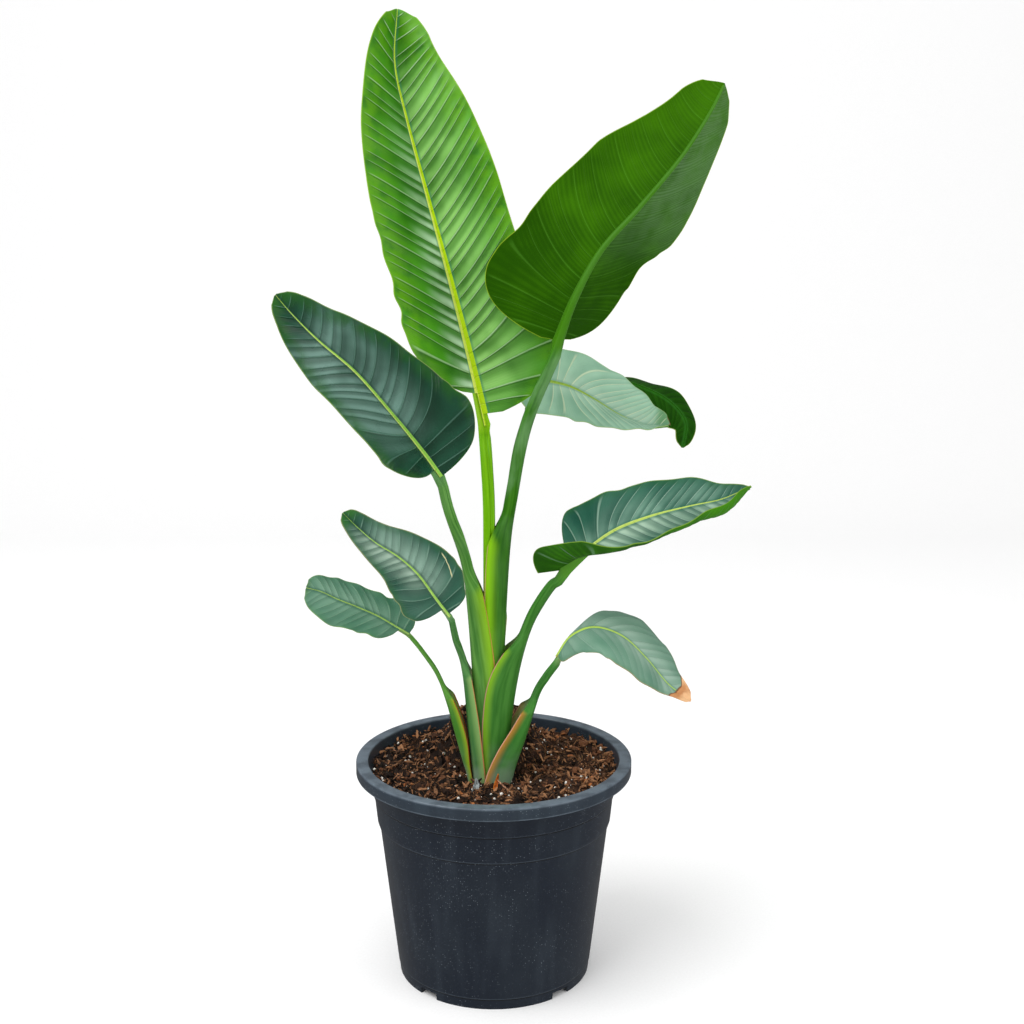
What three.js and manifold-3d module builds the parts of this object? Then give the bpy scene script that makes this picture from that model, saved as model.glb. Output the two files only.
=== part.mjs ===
// Potted bird of paradise: nine paddle leaves in two shoots, in a plastic nursery pot of soil.
// Millimetres, +Z up. The origin is the centre of the pot's underside, and the view from the
// front looks along +Y.

import * as THREE from 'three';
import { mergeVertices } from 'three/addons/utils/BufferGeometryUtils.js';
import Module from 'manifold-3d';

const wasm = await Module();
wasm.setup();

// Driving dimensions.

const GAP = 0.3; // clearance between neighbouring pieces

const POT = {
  height: 226,
  rimRadius: 140,
  rimInner: 127.6,
  rimBand: 12.6,
  rimWall: 2.2,
  collarTop: 125,
  collarStepZ: 190,
  collarFoot: 119.6,
  collarFootZ: 167,
  wallTop: 116.4,
  wallTopZ: 155,
  footRadius: 98.2,
  footLineZ: 11,
  footRing: 4.2,
  floorUnder: 6.8,
  floorTop: 9.5,
  padRadius: 26,
  wall: 2.2,
  segments: 40,
};

const NOTCH = { width: 21, depth: 12, azimuths: [48, 132, 228, 312], holeRadius: 6, holeAt: 78 };

const SOIL = { level: 212, rise: 4, clod: 2.6, rings: 10, segments: 40 };
const MOUND = { x: -4, y: 50, height: 50, radius: 50 };

const FRONT_SHOOT = [-4, -26]; // middle of each shoot at the soil
const BACK_SHOOT = [-4, 42];
const STALK_FOOT = 192; // the sheaths stand on the crown at this height

const SHEATH_SPREAD = 0.0085; // half breadth that the nested sheaths gain per mm of height

const BLADE = { half: 0.35, across: 3, least: 2.4, pleat: 0.8 };
const MIDRIB_TIP = 1.1; // half breadth of the midrib at the leaf tip

// Each leaf: `stalk` is the middle line of the petiole from the crown up to below the blade;
// `thick` its half thickness in the direction that the sheath opens to (`opens`), at even steps
// up the stalk. `sheath` gives the height of its mouth, how far its margins reach from the
// middle line at even steps down from the mouth, its inner and outer half breadth on the crown,
// and the share of that breadth at the margin. The two `core` stalks stay round all the way.
// `rib` is the midrib from the joint to the tip and `side` the direction of the right half, seen
// on the upper face with the tip up. `half` are half widths from base to tip, `halfRight` those of
// the right half where they differ. `left` and `right` are the angles in degrees that the halves
// rise toward the upper face, and `curl` how many degrees each half bends over its breadth, mostly
// near its margin. `base` and `tip` are the rounded shares of the length, `start` where each half
// begins, `lobe` how far the base hangs back past the joint, `sweep` how much the veins lean to
// the tip, `wave` the ripple of the margin, and `stations` the number of steps along the blade.
const LEAVES = [
  {
    name: 'leaf_1', // newest and tallest, upper face to the front
    stalk: [[-4.6, -26, 192], [-4.6, -26, 300], [-4.1, -26, 415], [-3.9, -25.8, 487],
      [-6, -19, 530]],
    thick: [4.2, 4.6, 5.1, 5.8, 6.1, 6],
    opens: [1, 0],
    shoot: FRONT_SHOOT,
    core: true,
    sheath: { top: 300, reach: [3, 3], inner: 1, outer: 5 },
    rib: [[-8, -4, 566], [-22, 2, 628], [-41, 12, 704], [-63, 22, 785], [-82, 28, 856],
      [-93, 33, 908], [-90, 36, 958]],
    side: [1, 0, 0],
    half: [110, 84, 79, 78, 68, 46, 22],
    left: [56, 48, 52, 66],
    right: [7, 25, 26, 15],
    curl: [[-16, -22, -16], [-12, -18, -14]],
    base: 0.09, tip: 0.1, start: [0.08, 0.03], lobe: [8, 8], sweep: 0.35, wave: 2.2, stations: 30,
  },
  {
    name: 'leaf_2', // arches to the right with its underside to the front
    stalk: [[2.9, -26, 192], [5.4, -26, 300], [7.4, -26, 385], [10.5, -26, 452],
      [16.7, -30, 497], [31, -43, 571]],
    thick: [2.7, 3.8, 5.2, 6.6, 6.2, 5.4],
    opens: [-1, 0],
    shoot: FRONT_SHOOT,
    sheath: { top: 488, reach: [15, 17, 15, 13, 9], inner: 5.1, outer: 7.2 },
    rib: [[59, -62, 650], [74, -66, 690], [98, -70, 734], [132, -72, 772], [168, -72, 815],
      [193, -70, 853], [208, -60, 881]],
    side: [-0.85, 0, 0.5],
    half: [100, 82, 82, 80, 60, 39, 26],
    left: [61, 52, 54, 50],
    right: [8, 33, 30, 18],
    curl: [[-20, -20], [-24, -16]],
    base: 0.09, tip: 0.12, start: [0.02, 0.01], lobe: [5, 5], sweep: 0.3, wave: 2.4, stations: 24,
  },
  {
    name: 'leaf_3', // arches to the left, dark and glossy
    stalk: [[-12, -26, 192], [-15.4, -26, 300], [-19.8, -26, 387], [-26, -30, 435],
      [-42, -45, 489]],
    thick: [2.6, 3.8, 5.2, 6.1, 5.7, 5.2],
    opens: [1, 0],
    shoot: FRONT_SHOOT,
    sheath: { top: 432, reach: [8, 14.5, 19, 18, 13], inner: 7.5, outer: 9.6 },
    rib: [[-50, -58, 524], [-66, -62, 548], [-94, -68, 585], [-126, -74, 624],
      [-158, -80, 653], [-180, -84, 676], [-196, -86, 695]],
    side: [0.62, 0.35, 0.65],
    half: [68, 62, 55, 47, 37, 25, 10],
    left: [46, 36, 16, 26],
    right: [16, 27, 28, 18],
    curl: [[-20, -34, -24], [-24, -30, -20]],
    base: 0.13, tip: 0.08, start: [0.04, 0], lobe: [0, 0], sweep: 0.3, wave: 1.8, stations: 20,
  },
  {
    name: 'leaf_4', // small, left of the middle
    stalk: [[-17.4, -26, 192], [-20.4, -26, 232], [-24.8, -26, 299], [-29, -30, 333],
      [-36, -44, 360]],
    thick: [2.2, 2.7, 3.8, 3.9, 3.7, 3.2],
    opens: [1, 0],
    shoot: FRONT_SHOOT,
    sheath: { top: 338, reach: [4.5, 6.6, 9.2, 10.8, 11], inner: 12.7, outer: 14.7, tuck: 0.95 },
    rib: [[-42, -68, 391], [-55, -72, 410], [-71, -76, 434], [-89, -80, 452],
      [-109, -84, 466], [-125, -88, 481], [-139, -90, 496]],
    side: [0.6, 0.35, 0.68],
    half: [22, 37, 35, 28, 21, 15, 8],
    left: [17, 17, 25, 32],
    right: [26, 27, 23, 18],
    curl: [[-20, -26, -20], [-20, -26, -20]],
    base: 0.035, tip: 0.08, start: [0.075, 0.025], lobe: [2, 2], sweep: 0.3, wave: 1.4, stations: 14,
  },
  {
    name: 'leaf_5', // lowest on the left
    stalk: [[-22.6, -26, 192], [-25.2, -26, 216], [-30.6, -26, 236], [-44, -26, 290],
      [-55, -30, 322], [-70, -36, 348]],
    thick: [1.8, 2.1, 2.6, 2.6, 2.4, 2.3],
    opens: [1, 0],
    shoot: FRONT_SHOOT,
    sheath: { top: 312, reach: [5, 8.4, 8.7, 4, 2.2], inner: 9, outer: 11, tuck: 0.9 },
    rib: [[-83, -40, 366], [-95, -42, 374], [-112, -44, 385], [-132, -46, 395],
      [-150, -48, 403], [-166, -49, 411], [-180, -50, 415]],
    side: [0.2, 0.65, 0.72],
    half: [31, 25, 24, 26, 27, 21, 14],
    left: [10, 1, -5, -5],
    right: [16, -3, -18, -16],
    curl: [[-16, -20, -16], [-20, -24, -20]],
    base: 0.17, tip: 0.12, start: [0.1, 0], lobe: [4, 4], sweep: 0.3, wave: 1.2, stations: 12,
  },
  {
    name: 'leaf_6', // arches to the right, near half turned up toward its tip
    stalk: [[8.9, -26, 192], [11.2, -26, 232], [16.4, -26, 296], [24.6, -26, 343],
      [36.8, -30, 380], [54, -40, 412]],
    thick: [2.7, 3, 4.4, 5.5, 5.6, 5.2],
    opens: [-1, 0],
    shoot: FRONT_SHOOT,
    sheath: { top: 366, reach: [7, 23.4, 25.8, 23, 18.5], inner: 10, outer: 12.3, tuck: 0.83 },
    rib: [[67, -48, 432], [90, -50, 452], [117, -53, 472], [151, -56, 486], [186, -57, 495],
      [217, -58, 502], [244, -58, 514]],
    side: [0.1, -1, 0],
    half: [70, 47, 38, 34, 30, 18, 2],
    halfRight: [46, 44, 40, 40, 40, 37, 5],
    left: [27, 52, 54, 47],
    right: [85, 14, -20, -18, -2, 16, 38],
    curl: [[10, 20, 10], [100, 90, 100, 115, 125, 165, 150]],
    base: 0.05, tip: 0.05, start: [0.06, 0], lobe: [8, 22], sweep: 0.3, wave: 0.8, stations: 24,
  },
  {
    name: 'leaf_7', // droops on the right, its tip dried
    stalk: [[15, -26, 192], [16.3, -26, 213], [26, -26, 250], [41, -26, 298],
      [51, -36, 320]],
    thick: [2.5, 3.2, 4.6, 4.6, 4.2, 3.8],
    opens: [-1, 0],
    shoot: FRONT_SHOOT,
    sheath: { top: 297, reach: [7, 13.6, 21.5, 25.5, 25], inner: 15.1, outer: 17.1, tuck: 0.91 },
    rib: [[61, -52, 347], [74, -55, 367], [96, -58, 377], [123, -61, 369], [146, -64, 348],
      [168, -66, 322], [190, -68, 306]],
    side: [0.1, -1, 0],
    half: [6, 18, 50, 52, 42, 24, 5],
    halfRight: [22, 36, 47, 46, 36, 17, 4],
    left: [-20, 10, 30, 44],
    right: [-24, -24, -24, -20],
    curl: [[-24, -30, -20], [-30, -36, -24]],
    base: 0.18, tip: 0.05, start: [0.1, 0.02], lobe: [14, 14], sweep: 0.3, wave: 0.5, stations: 19,
  },
  {
    name: 'leaf_8', // back shoot, pale, to the right behind leaf_2
    stalk: [[-4, 40, 192], [1, 42, 300], [9.4, 46, 400], [14.3, 50, 458], [23, 54, 505],
      [33, 57, 551]],
    thick: [3.6, 4.2, 4.6, 4.6, 4.3, 3.8],
    opens: [0, 1],
    shoot: BACK_SHOOT,
    core: true,
    sheath: { top: 290, reach: [2.6, 2.6], inner: 1, outer: 4.4 },
    rib: [[48, 61, 603], [60, 64, 601], [80, 68, 595], [104, 72, 582], [130, 74, 566],
      [157, 74, 555], [182, 72, 556]],
    side: [0.1, -1, 0],
    half: [38, 42, 43, 45, 41, 28, 10],
    left: [60, 55, 51, 50],
    right: [-55, -34, -7, 10],
    curl: [[-14, -20, -14], [-20, -30, -30]],
    base: 0.04, tip: 0.06, start: [0, 0], lobe: [28, 28], sweep: 0.2, wave: 1.6, stations: 14,
  },
  {
    name: 'leaf_9', // back shoot, behind leaf_8, its tip hangs
    stalk: [[-4, 50, 192], [1, 54, 290], [9.6, 60, 400], [15.6, 66, 462], [24.8, 74, 510],
      [37.5, 81, 558]],
    thick: [2.6, 3.4, 4, 4, 4, 3.8],
    opens: [0, -1],
    shoot: BACK_SHOOT,
    sheath: { top: 380, reach: [6, 12, 15, 15, 13], inner: 4.6, outer: 6.6, tuck: 0.85 },
    rib: [[56, 86, 597], [90, 100, 603], [126, 118, 599], [160, 129, 589], [189, 134, 573],
      [206, 134, 551], [203, 130, 524]],
    side: [-0.7, -0.7, 0.1],
    half: [10, 12, 14, 18, 24, 18, 6],
    halfRight: [16, 18, 23, 29, 31, 18, 6],
    left: [-8, -6, 2, 8],
    right: [-42, -38, -31, -23],
    curl: [[-10, -16, -16], [-16, -24, -20]],
    base: 0.12, tip: 0.06, start: [0, 0], lobe: [6, 6], sweep: 0.3, wave: 1.6, stations: 14,
  },
];

// Small helpers.

const { lerp, clamp, smoothstep, degToRad } = THREE.MathUtils;
const vec = (p) => new THREE.Vector3(...p);
const moved = (p, ...steps) => {
  const out = p.clone();
  steps.forEach(([direction, length]) => out.addScaledVector(direction, length));
  return out;
};

// Smooth value at x (0 to 1) of a list given at even steps.
function along(values, x) {
  const last = values.length - 1;
  const at = clamp(x, 0, 1) * last;
  const k = Math.min(Math.floor(at), last - 1);
  const t = at - k;
  const value = (i) => {
    if (i < 0) return 2 * values[0] - values[1];
    if (i > last) return 2 * values[last] - values[last - 1];
    return values[i];
  };
  const [a, b, c, d] = [value(k - 1), value(k), value(k + 1), value(k + 2)];
  return b + 0.5 * t * (c - a) + t * t * (a - 2.5 * b + 2 * c - 0.5 * d)
    + t ** 3 * (-0.5 * a + 1.5 * b - 1.5 * c + 0.5 * d);
}

const curveThrough = (points) => new THREE.CatmullRomCurve3(points.map(vec), false, 'catmullrom', 0.5);

function geometryOf(points, faces) {
  const geometry = new THREE.BufferGeometry().setFromPoints(points);
  geometry.setIndex(faces.flat());
  return geometry;
}

// Closed skin over rings of equal count, capped at both ends; `caps` are the end rings drawn flat.
function skin(rings, caps) {
  const count = rings[0].length;
  const faces = [];
  for (let i = 0; i + 1 < rings.length; i += 1) {
    for (let j = 0; j < count; j += 1) {
      const a = i * count + j;
      const b = i * count + ((j + 1) % count);
      faces.push([a, b, b + count], [a, b + count, a + count]);
    }
  }
  const end = (rings.length - 1) * count;
  const [first, last] = caps.map((cap) => THREE.ShapeUtils.triangulateShape(cap, []));
  first.forEach(([a, b, c]) => faces.push([a, c, b]));
  last.forEach(([a, b, c]) => faces.push([end + a, end + b, end + c]));
  return geometryOf(rings.flat(), faces);
}

function toSolid(geometry) {
  const plain = geometry.clone();
  plain.deleteAttribute('normal');
  plain.deleteAttribute('uv');
  const merged = mergeVertices(plain, 1e-4);
  return new wasm.Manifold(new wasm.Mesh({
    numProp: 3,
    vertProperties: Float32Array.from(merged.attributes.position.array),
    triVerts: Uint32Array.from(merged.index.array),
  }));
}

function toGeometry(solid) {
  const mesh = solid.getMesh();
  const geometry = new THREE.BufferGeometry();
  geometry.setAttribute('position', new THREE.BufferAttribute(new Float32Array(mesh.vertProperties), 3));
  geometry.setIndex([...mesh.triVerts]);
  return geometry;
}

// Leaf blades.

// Unit axes at a point of a leaf: along it, to its right half, and up from its upper face.
function axes(tangent, side) {
  const right = moved(side, [tangent, -side.dot(tangent)]).normalize();
  return { tangent, right, up: new THREE.Vector3().crossVectors(right, tangent) };
}

// Half width at share b of the length; half 0 is the left one.
function halfWidth(leaf, b, half) {
  const fromBase = clamp((b - leaf.start[half]) / leaf.base, 0, 1);
  const toTip = clamp((b - 1 + leaf.tip) / leaf.tip, 0, 1);
  const rounding = Math.sqrt(1 - (1 - fromBase) ** 2) * Math.sqrt(1 - toTip * toTip);
  return Math.max(along((half && leaf.halfRight) || leaf.half, b) * rounding, BLADE.least);
}

// Share of the length at a station; the stations stand closer at both ends.
function lengthShare(leaf, station) {
  const t = station / leaf.stations;
  return t - 0.5 * Math.sin(2 * Math.PI * t) / (2 * Math.PI);
}

const fadeAtEnds = (b) => Math.min(1, 8 * b, 8 * (1 - b));

// Slope in degrees at share v of the breadth of a half.
function slopeAt(leaf, b, half, v) {
  return along(half ? leaf.right : leaf.left, b) + along(leaf.curl[half], b) * (v * v - 1 / 3);
}

// Distance from the rib, outward and up, at share v of the breadth of a half that curls.
function acrossHalf(leaf, b, half, v) {
  const steps = 12;
  const reached = [0, 0];
  for (let k = 0; k < steps; k += 1) {
    const slope = degToRad(slopeAt(leaf, b, half, (v * (k + 0.5)) / steps));
    reached[0] += Math.cos(slope) / steps;
    reached[1] += Math.sin(slope) / steps;
  }
  return reached.map((share) => share * v * halfWidth(leaf, b, half));
}

// Rise of the surface off its smooth course: a pleat to each second vein, and a waved margin.
function relief(leaf, station, v, half) {
  const b = lengthShare(leaf, station);
  const broad = Math.min(1, leaf.half[2] / 60, halfWidth(leaf, b, half) / 20);
  const pleat = (station % 2 ? 1 : -1) * BLADE.pleat * Math.sin(Math.PI * v) * broad;
  const margin = leaf.wave * v ** 3 * Math.sin(2.2 * Math.PI * b * (4 + half) + 2 * half + leaf.rib.length);
  return fadeAtEnds(b) * (pleat + margin);
}

// Middle surface of the blade as rows of points, each row along a pair of veins.
function bladeRows(leaf) {
  const rib = curveThrough(leaf.rib);
  const rows = [];
  for (let i = 0; i <= leaf.stations; i += 1) {
    const b = lengthShare(leaf, i);
    const at = rib.getPointAt(b);
    const { tangent, right, up } = axes(rib.getTangentAt(b), vec(leaf.side));
    const row = [];
    for (let j = -BLADE.across; j <= BLADE.across; j += 1) {
      const v = Math.abs(j) / BLADE.across;
      const half = j < 0 ? 0 : 1;
      const full = halfWidth(leaf, b, half);
      const [out, rise] = acrossHalf(leaf, b, half, v);
      const hang = leaf.lobe[half] * clamp(1 - b / 0.16, 0, 1) ** 2 * clamp(full / 14, 0, 1) * v ** 1.5;
      const lean = leaf.sweep * Math.sqrt(v) * Math.min(1, 8 * b, 30 * (1 - b));
      row.push(moved(
        at,
        [right, Math.sign(j) * out],
        [up, rise + relief(leaf, i, v, half)],
        [tangent, full * v * lean - hang],
      ));
    }
    rows.push(row);
  }
  return rows;
}

// Normal at a point of the rows, lengthened at a fold so that the thickness holds there.
function mitre(rows, i, j) {
  const before = rows[Math.max(i - 1, 0)][j];
  const after = rows[Math.min(i + 1, rows.length - 1)][j];
  const forward = after.clone().sub(before);
  const face = (a, b) => new THREE.Vector3().crossVectors(b.clone().sub(a), forward).normalize();
  const row = rows[i];
  const left = face(row[Math.max(j - 1, 0)], row[Math.max(j, 1)]);
  const right = face(row[Math.min(j, row.length - 2)], row[Math.min(j + 1, row.length - 1)]);
  const middle = left.clone().add(right).normalize();
  return middle.multiplyScalar(1 / Math.max(middle.dot(left), 0.55));
}

function bladeGeometry(leaf) {
  const rows = bladeRows(leaf);
  const across = rows[0].length;
  const offset = (way) => rows.flatMap((row, i) => (
    row.map((p, j) => moved(p, [mitre(rows, i, j), way * BLADE.half]))
  ));
  const under = rows.length * across;
  const faces = [];
  const both = (a, b, c) => faces.push([a, b, c], [under + a, under + c, under + b]);
  const edge = (a, b) => faces.push([a, b, under + b], [a, under + b, under + a]);
  for (let i = 0; i + 1 < rows.length; i += 1) {
    for (let j = 0; j + 1 < across; j += 1) {
      const a = i * across + j;
      const [b, c, d] = [a + 1, a + across + 1, a + across];
      if (j < BLADE.across) {
        both(a, b, d);
        both(b, c, d);
      } else {
        both(a, b, c);
        both(a, c, d);
      }
    }
    edge(i * across, (i + 1) * across);
    edge((i + 2) * across - 1, (i + 1) * across - 1);
  }
  const last = (rows.length - 1) * across;
  for (let j = 0; j + 1 < across; j += 1) {
    edge(j + 1, j);
    edge(last + j, last + j + 1);
  }
  return geometryOf([...offset(1), ...offset(-1)], faces);
}

// Stalks: sheath, petiole, midrib.

const SECTION_BEND = 0.76; // where the oval of a sheath is sampled between side and back

// Half outlines as [toward the opening, sideways]; the full section mirrors them.
function roundSection(r) {
  return {
    outer: [[0.87 * r, 0.5 * r], [0, r], [-0.72 * r, 0.7 * r], [-r, 0]],
    inner: [[0.84 * r, 0.3 * r], [0.72 * r, 0.18 * r], [0.66 * r, 0]],
  };
}

function sheathSection(thick, middle, reach, inner, outer, tuck) {
  const wide = Math.max(Math.min(middle, 0.8 * reach), thick);
  return {
    outer: [[reach, outer * tuck], [wide, outer],
      [wide - SECTION_BEND * (wide + thick), SECTION_BEND * outer], [-thick, 0]],
    inner: [[wide, inner], [wide - SECTION_BEND * (wide - thick), SECTION_BEND * inner], [thick, 0]],
  };
}

function blendSections(a, b, share) {
  const mix = (p, q) => p.map((value, k) => lerp(value, q[k], share));
  return {
    outer: a.outer.map((p, k) => mix(p, b.outer[k])),
    inner: a.inner.map((p, k) => mix(p, b.inner[k])),
  };
}

// The whole outline, counter-clockwise: round the back from margin to margin, then inside.
function outline({ outer, inner }) {
  const mirrored = (list) => list.slice(0, -1).reverse().map(([x, y]) => [x, -y]);
  const inside = inner.map(([x, y]) => [x, -y]);
  return [...outer, ...mirrored(outer), ...inside, ...inner.slice(0, -1).reverse()];
}

const MOUTH_FADE = 0.13; // share of the sheath over which it opens out of the round petiole
const SHARES_BELOW_MOUTH = [0, 0.12, 0.4, 0.65, 0.83, 0.93, 1];
const SHARES_ABOVE_MOUTH = [0.25, 0.5, 0.75, 1];

// Axes at the joint, turned to the mean slope of the two halves.
function jointAxes(leaf) {
  const { tangent, right, up } = axes(curveThrough(leaf.rib).getTangentAt(0), vec(leaf.side));
  const tilt = degToRad((slopeAt(leaf, 0, 1, 0) - slopeAt(leaf, 0, 0, 0)) / 2);
  return {
    tangent,
    right: moved(new THREE.Vector3(), [right, Math.cos(tilt)], [up, Math.sin(tilt)]),
    up: moved(new THREE.Vector3(), [up, Math.cos(tilt)], [right, -Math.sin(tilt)]),
  };
}

function stalkCurve(leaf) {
  const rib = curveThrough(leaf.rib);
  const { tangent, up } = jointAxes(leaf);
  const r = leaf.thick.at(-1);
  const end = moved(rib.getPointAt(0), [up, -BLADE.half - 2 * GAP - 0.87 * r], [tangent, -2 * r]);
  return curveThrough([...leaf.stalk, end.toArray()]);
}

function shareAtHeight(curve, z) {
  const steps = 200;
  for (let i = 0; i <= steps; i += 1) {
    if (curve.getPointAt(i / steps).z >= z) return i / steps;
  }
  return 1;
}

// Section and axes of the stalk at share t of its length.
function stalkStation(leaf, curve, mouth, t, grow = 0) {
  const at = curve.getPointAt(t);
  const turn = smoothstep(t, mouth, lerp(mouth, 1, 0.6));
  const opens = new THREE.Vector3(...leaf.opens, 0);
  const lying = new THREE.Vector3(0, 0, 1).cross(opens);
  const side = lying.lerp(jointAxes(leaf).right, turn).normalize();
  const turned = axes(curve.getTangentAt(t), side);
  const right = opens.clone().cross(new THREE.Vector3(0, 0, -1)).lerp(turned.right, turn).normalize();
  const up = opens.clone().lerp(turned.up, turn).normalize();

  const { top, reach, inner, outer, tuck = 0.8 } = leaf.sheath;
  const down = (top - at.z) / (top - STALK_FOOT);
  const thick = along(leaf.thick, t) + grow;
  const spread = SHEATH_SPREAD * (at.z - STALK_FOOT);
  const middle = opens.dot(new THREE.Vector3(...leaf.shoot, 0)) - opens.dot(at);
  const margin = along(reach, down) + grow;
  const open = sheathSection(thick, middle, margin, inner + spread, outer + spread + grow, tuck);
  const opening = leaf.core ? 0 : smoothstep(down, 0, MOUTH_FADE);
  const section = blendSections(roundSection(thick), open, opening);
  return { at, up, right, section };
}

function stalkShares(mouth) {
  return [
    ...SHARES_BELOW_MOUTH.map((share) => share * mouth),
    ...SHARES_ABOVE_MOUTH.map((share) => lerp(mouth, 1, share)),
  ];
}

function stalkRings(leaf) {
  const curve = stalkCurve(leaf);
  const mouth = shareAtHeight(curve, leaf.sheath.top);
  return stalkShares(mouth).map((t) => {
    const { at, up, right, section } = stalkStation(leaf, curve, mouth, t);
    return outline(section).map(([x, y]) => moved(at, [up, x], [right, y]));
  });
}

// Slope of one half beside the midrib: its direction away from the rib and its upward normal.
function slopeBeside(row, sign, { right, up }) {
  const toward = row[BLADE.across + sign].clone().sub(row[BLADE.across]);
  const rise = Math.atan2(toward.dot(up), Math.abs(toward.dot(right)));
  const origin = new THREE.Vector3();
  return {
    out: moved(origin, [right, sign * Math.cos(rise)], [up, Math.sin(rise)]),
    normal: moved(origin, [right, -sign * Math.sin(rise)], [up, Math.cos(rise)]),
  };
}

// Midrib under the blade: its top follows the two halves, its back is round.
function midribRings(leaf) {
  const rib = curveThrough(leaf.rib);
  const base = leaf.thick.at(-1) * 0.95;
  return bladeRows(leaf).slice(0, -1).map((row, i) => {
    const b = lengthShare(leaf, i);
    const at = rib.getPointAt(b);
    const frame = axes(rib.getTangentAt(b), vec(leaf.side));
    const [left, right] = [-1, 1].map((sign) => slopeBeside(row, sign, frame));
    const normal = left.normal.clone().add(right.normal).normalize();
    const across = frame.tangent.clone().cross(normal);
    const below = BLADE.half + GAP * (2.2 + clamp(1 - 8 * b, 0, 1));
    const apex = below / Math.max(normal.dot(right.normal), 0.5);
    const half = lerp(base, MIDRIB_TIP, Math.sqrt(b));
    const deep = half * 1.5 + 0.4;
    const hug = (slope, share) => moved(at, [slope.out, share * half], [slope.normal, -below]);
    const under = (x, y) => moved(at, [across, y * half], [normal, -apex - x * deep]);
    return [
      hug(right, 1), under(0.45, 0.9), under(0.85, 0.6), under(1, 0), under(0.85, -0.6),
      under(0.45, -0.9), hug(left, 1), hug(left, 0.7), hug(left, 0.35),
      under(0, 0), hug(right, 0.35), hug(right, 0.7),
    ];
  });
}

const flat = (ring, right, up) => ring.map((p) => new THREE.Vector2(p.dot(up), p.dot(right)));

function stalkGeometry(leaf) {
  const rings = [...stalkRings(leaf), ...midribRings(leaf)];
  const opens = new THREE.Vector3(...leaf.opens, 0);
  const footRight = opens.clone().cross(new THREE.Vector3(0, 0, -1));
  const rib = curveThrough(leaf.rib);
  const tip = axes(rib.getTangentAt(1), vec(leaf.side));
  return skin(rings, [flat(rings[0], footRight, opens), flat(rings.at(-1), tip.right, tip.up)]);
}

// The stalk's outer outline as one full plug, a little larger, for the hole that it stands in.
function plugGeometry(leaf, foot, top) {
  const curve = stalkCurve(leaf);
  const mouth = shareAtHeight(curve, leaf.sheath.top);
  const upper = shareAtHeight(curve, top);
  const shares = stalkShares(mouth);
  const count = shares.findIndex((t) => t > upper) + 1;
  const rings = shares.slice(0, count).map((t) => {
    const { at, up, right, section } = stalkStation(leaf, curve, mouth, t, GAP);
    const back = section.outer.map(([x, y]) => [x, y]);
    const whole = [...back, ...back.slice(0, -1).reverse().map(([x, y]) => [x, -y])];
    return whole.map(([x, y]) => moved(at, [up, x], [right, y]));
  });
  rings[0].forEach((p) => p.setZ(foot));
  const opens = new THREE.Vector3(...leaf.opens, 0);
  const right = opens.clone().cross(new THREE.Vector3(0, 0, -1));
  return skin(rings, [flat(rings[0], right, opens), flat(rings.at(-1), right, opens)]);
}

// Pot.

// Outer wall from the foot up to the rim, as [radius, height].
const POT_WALL = [
  [POT.footRadius, 0],
  [99.2, POT.footLineZ - 0.8],
  [99.8, POT.footLineZ],
  [POT.wallTop, POT.wallTopZ],
  [119.2, 163.5],
  [POT.collarFoot, POT.collarFootZ],
  [121.8, POT.collarStepZ - 0.8],
  [122.8, POT.collarStepZ + 0.4],
  [POT.collarTop, 212],
];

function potProfile() {
  const { height, rimRadius, rimInner, rimBand, rimWall, wall } = POT;
  const lip = height - rimWall;
  return [
    [0, 0],
    [POT.padRadius, 0],
    [POT.padRadius, POT.floorUnder],
    [POT.footRadius - POT.footRing, POT.floorUnder],
    [POT.footRadius - POT.footRing, 0],
    ...POT_WALL,
    [rimInner + wall, lip - 1],
    [rimInner + wall + 1, lip],
    [rimRadius - rimWall, lip],
    [rimRadius - rimWall, height - rimBand],
    [rimRadius, height - rimBand],
    [rimRadius, height - 1.6],
    [rimRadius - 1.6, height],
    [rimInner + 2, height],
    [rimInner, height - 2],
    ...potInside(height - 14).reverse(),
    [0, POT.floorTop],
  ];
}

// Inner wall up to a height, as [radius, height] from the floor up.
function potInside(top) {
  const inner = POT_WALL.slice(3).map(([r, z]) => [r - POT.wall, z]);
  return [[POT_WALL[2][0] - POT.wall, POT.floorTop], ...inner.filter(([, z]) => z <= top)];
}

function turned(profile, segments) {
  const geometry = new THREE.LatheGeometry(profile.map(([r, z]) => new THREE.Vector2(r, z)), segments);
  return geometry.rotateX(Math.PI / 2);
}

function drainSlot(azimuth) {
  const box = new THREE.BoxGeometry(NOTCH.depth * 2, NOTCH.width, POT.floorUnder * 2);
  return box.translate(POT.footRadius, 0, 0).rotateZ(degToRad(azimuth));
}

function drainHole(azimuth) {
  const hole = new THREE.CylinderGeometry(NOTCH.holeRadius, NOTCH.holeRadius, 20, 16).rotateX(Math.PI / 2);
  return hole.translate(NOTCH.holeAt, 0, POT.floorTop).rotateZ(degToRad(azimuth));
}

function potGeometry() {
  let pot = toSolid(turned(potProfile(), POT.segments));
  NOTCH.azimuths.forEach((azimuth) => {
    pot = pot.subtract(toSolid(drainSlot(azimuth))).subtract(toSolid(drainHole(azimuth)));
  });
  return toGeometry(pot);
}

// Soil and crown.

function soilHeight(x, y) {
  const r = Math.hypot(x, y) / POT.rimInner;
  const clods = Math.sin(x / 7.3 + 1.3 * Math.sin(y / 9.1)) * Math.sin(y / 6.7 + 1.1 * Math.sin(x / 8.3));
  const swell = Math.sin(x / 21 + 0.7) * Math.cos(y / 17 - 0.4);
  const fromMound = Math.hypot(x - MOUND.x, y - MOUND.y) / MOUND.radius;
  const mound = MOUND.height * Math.exp(-(fromMound ** 4));
  return SOIL.level + SOIL.rise * r ** 2 + SOIL.clod * (0.7 * clods + 0.6 * swell) + mound;
}

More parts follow.
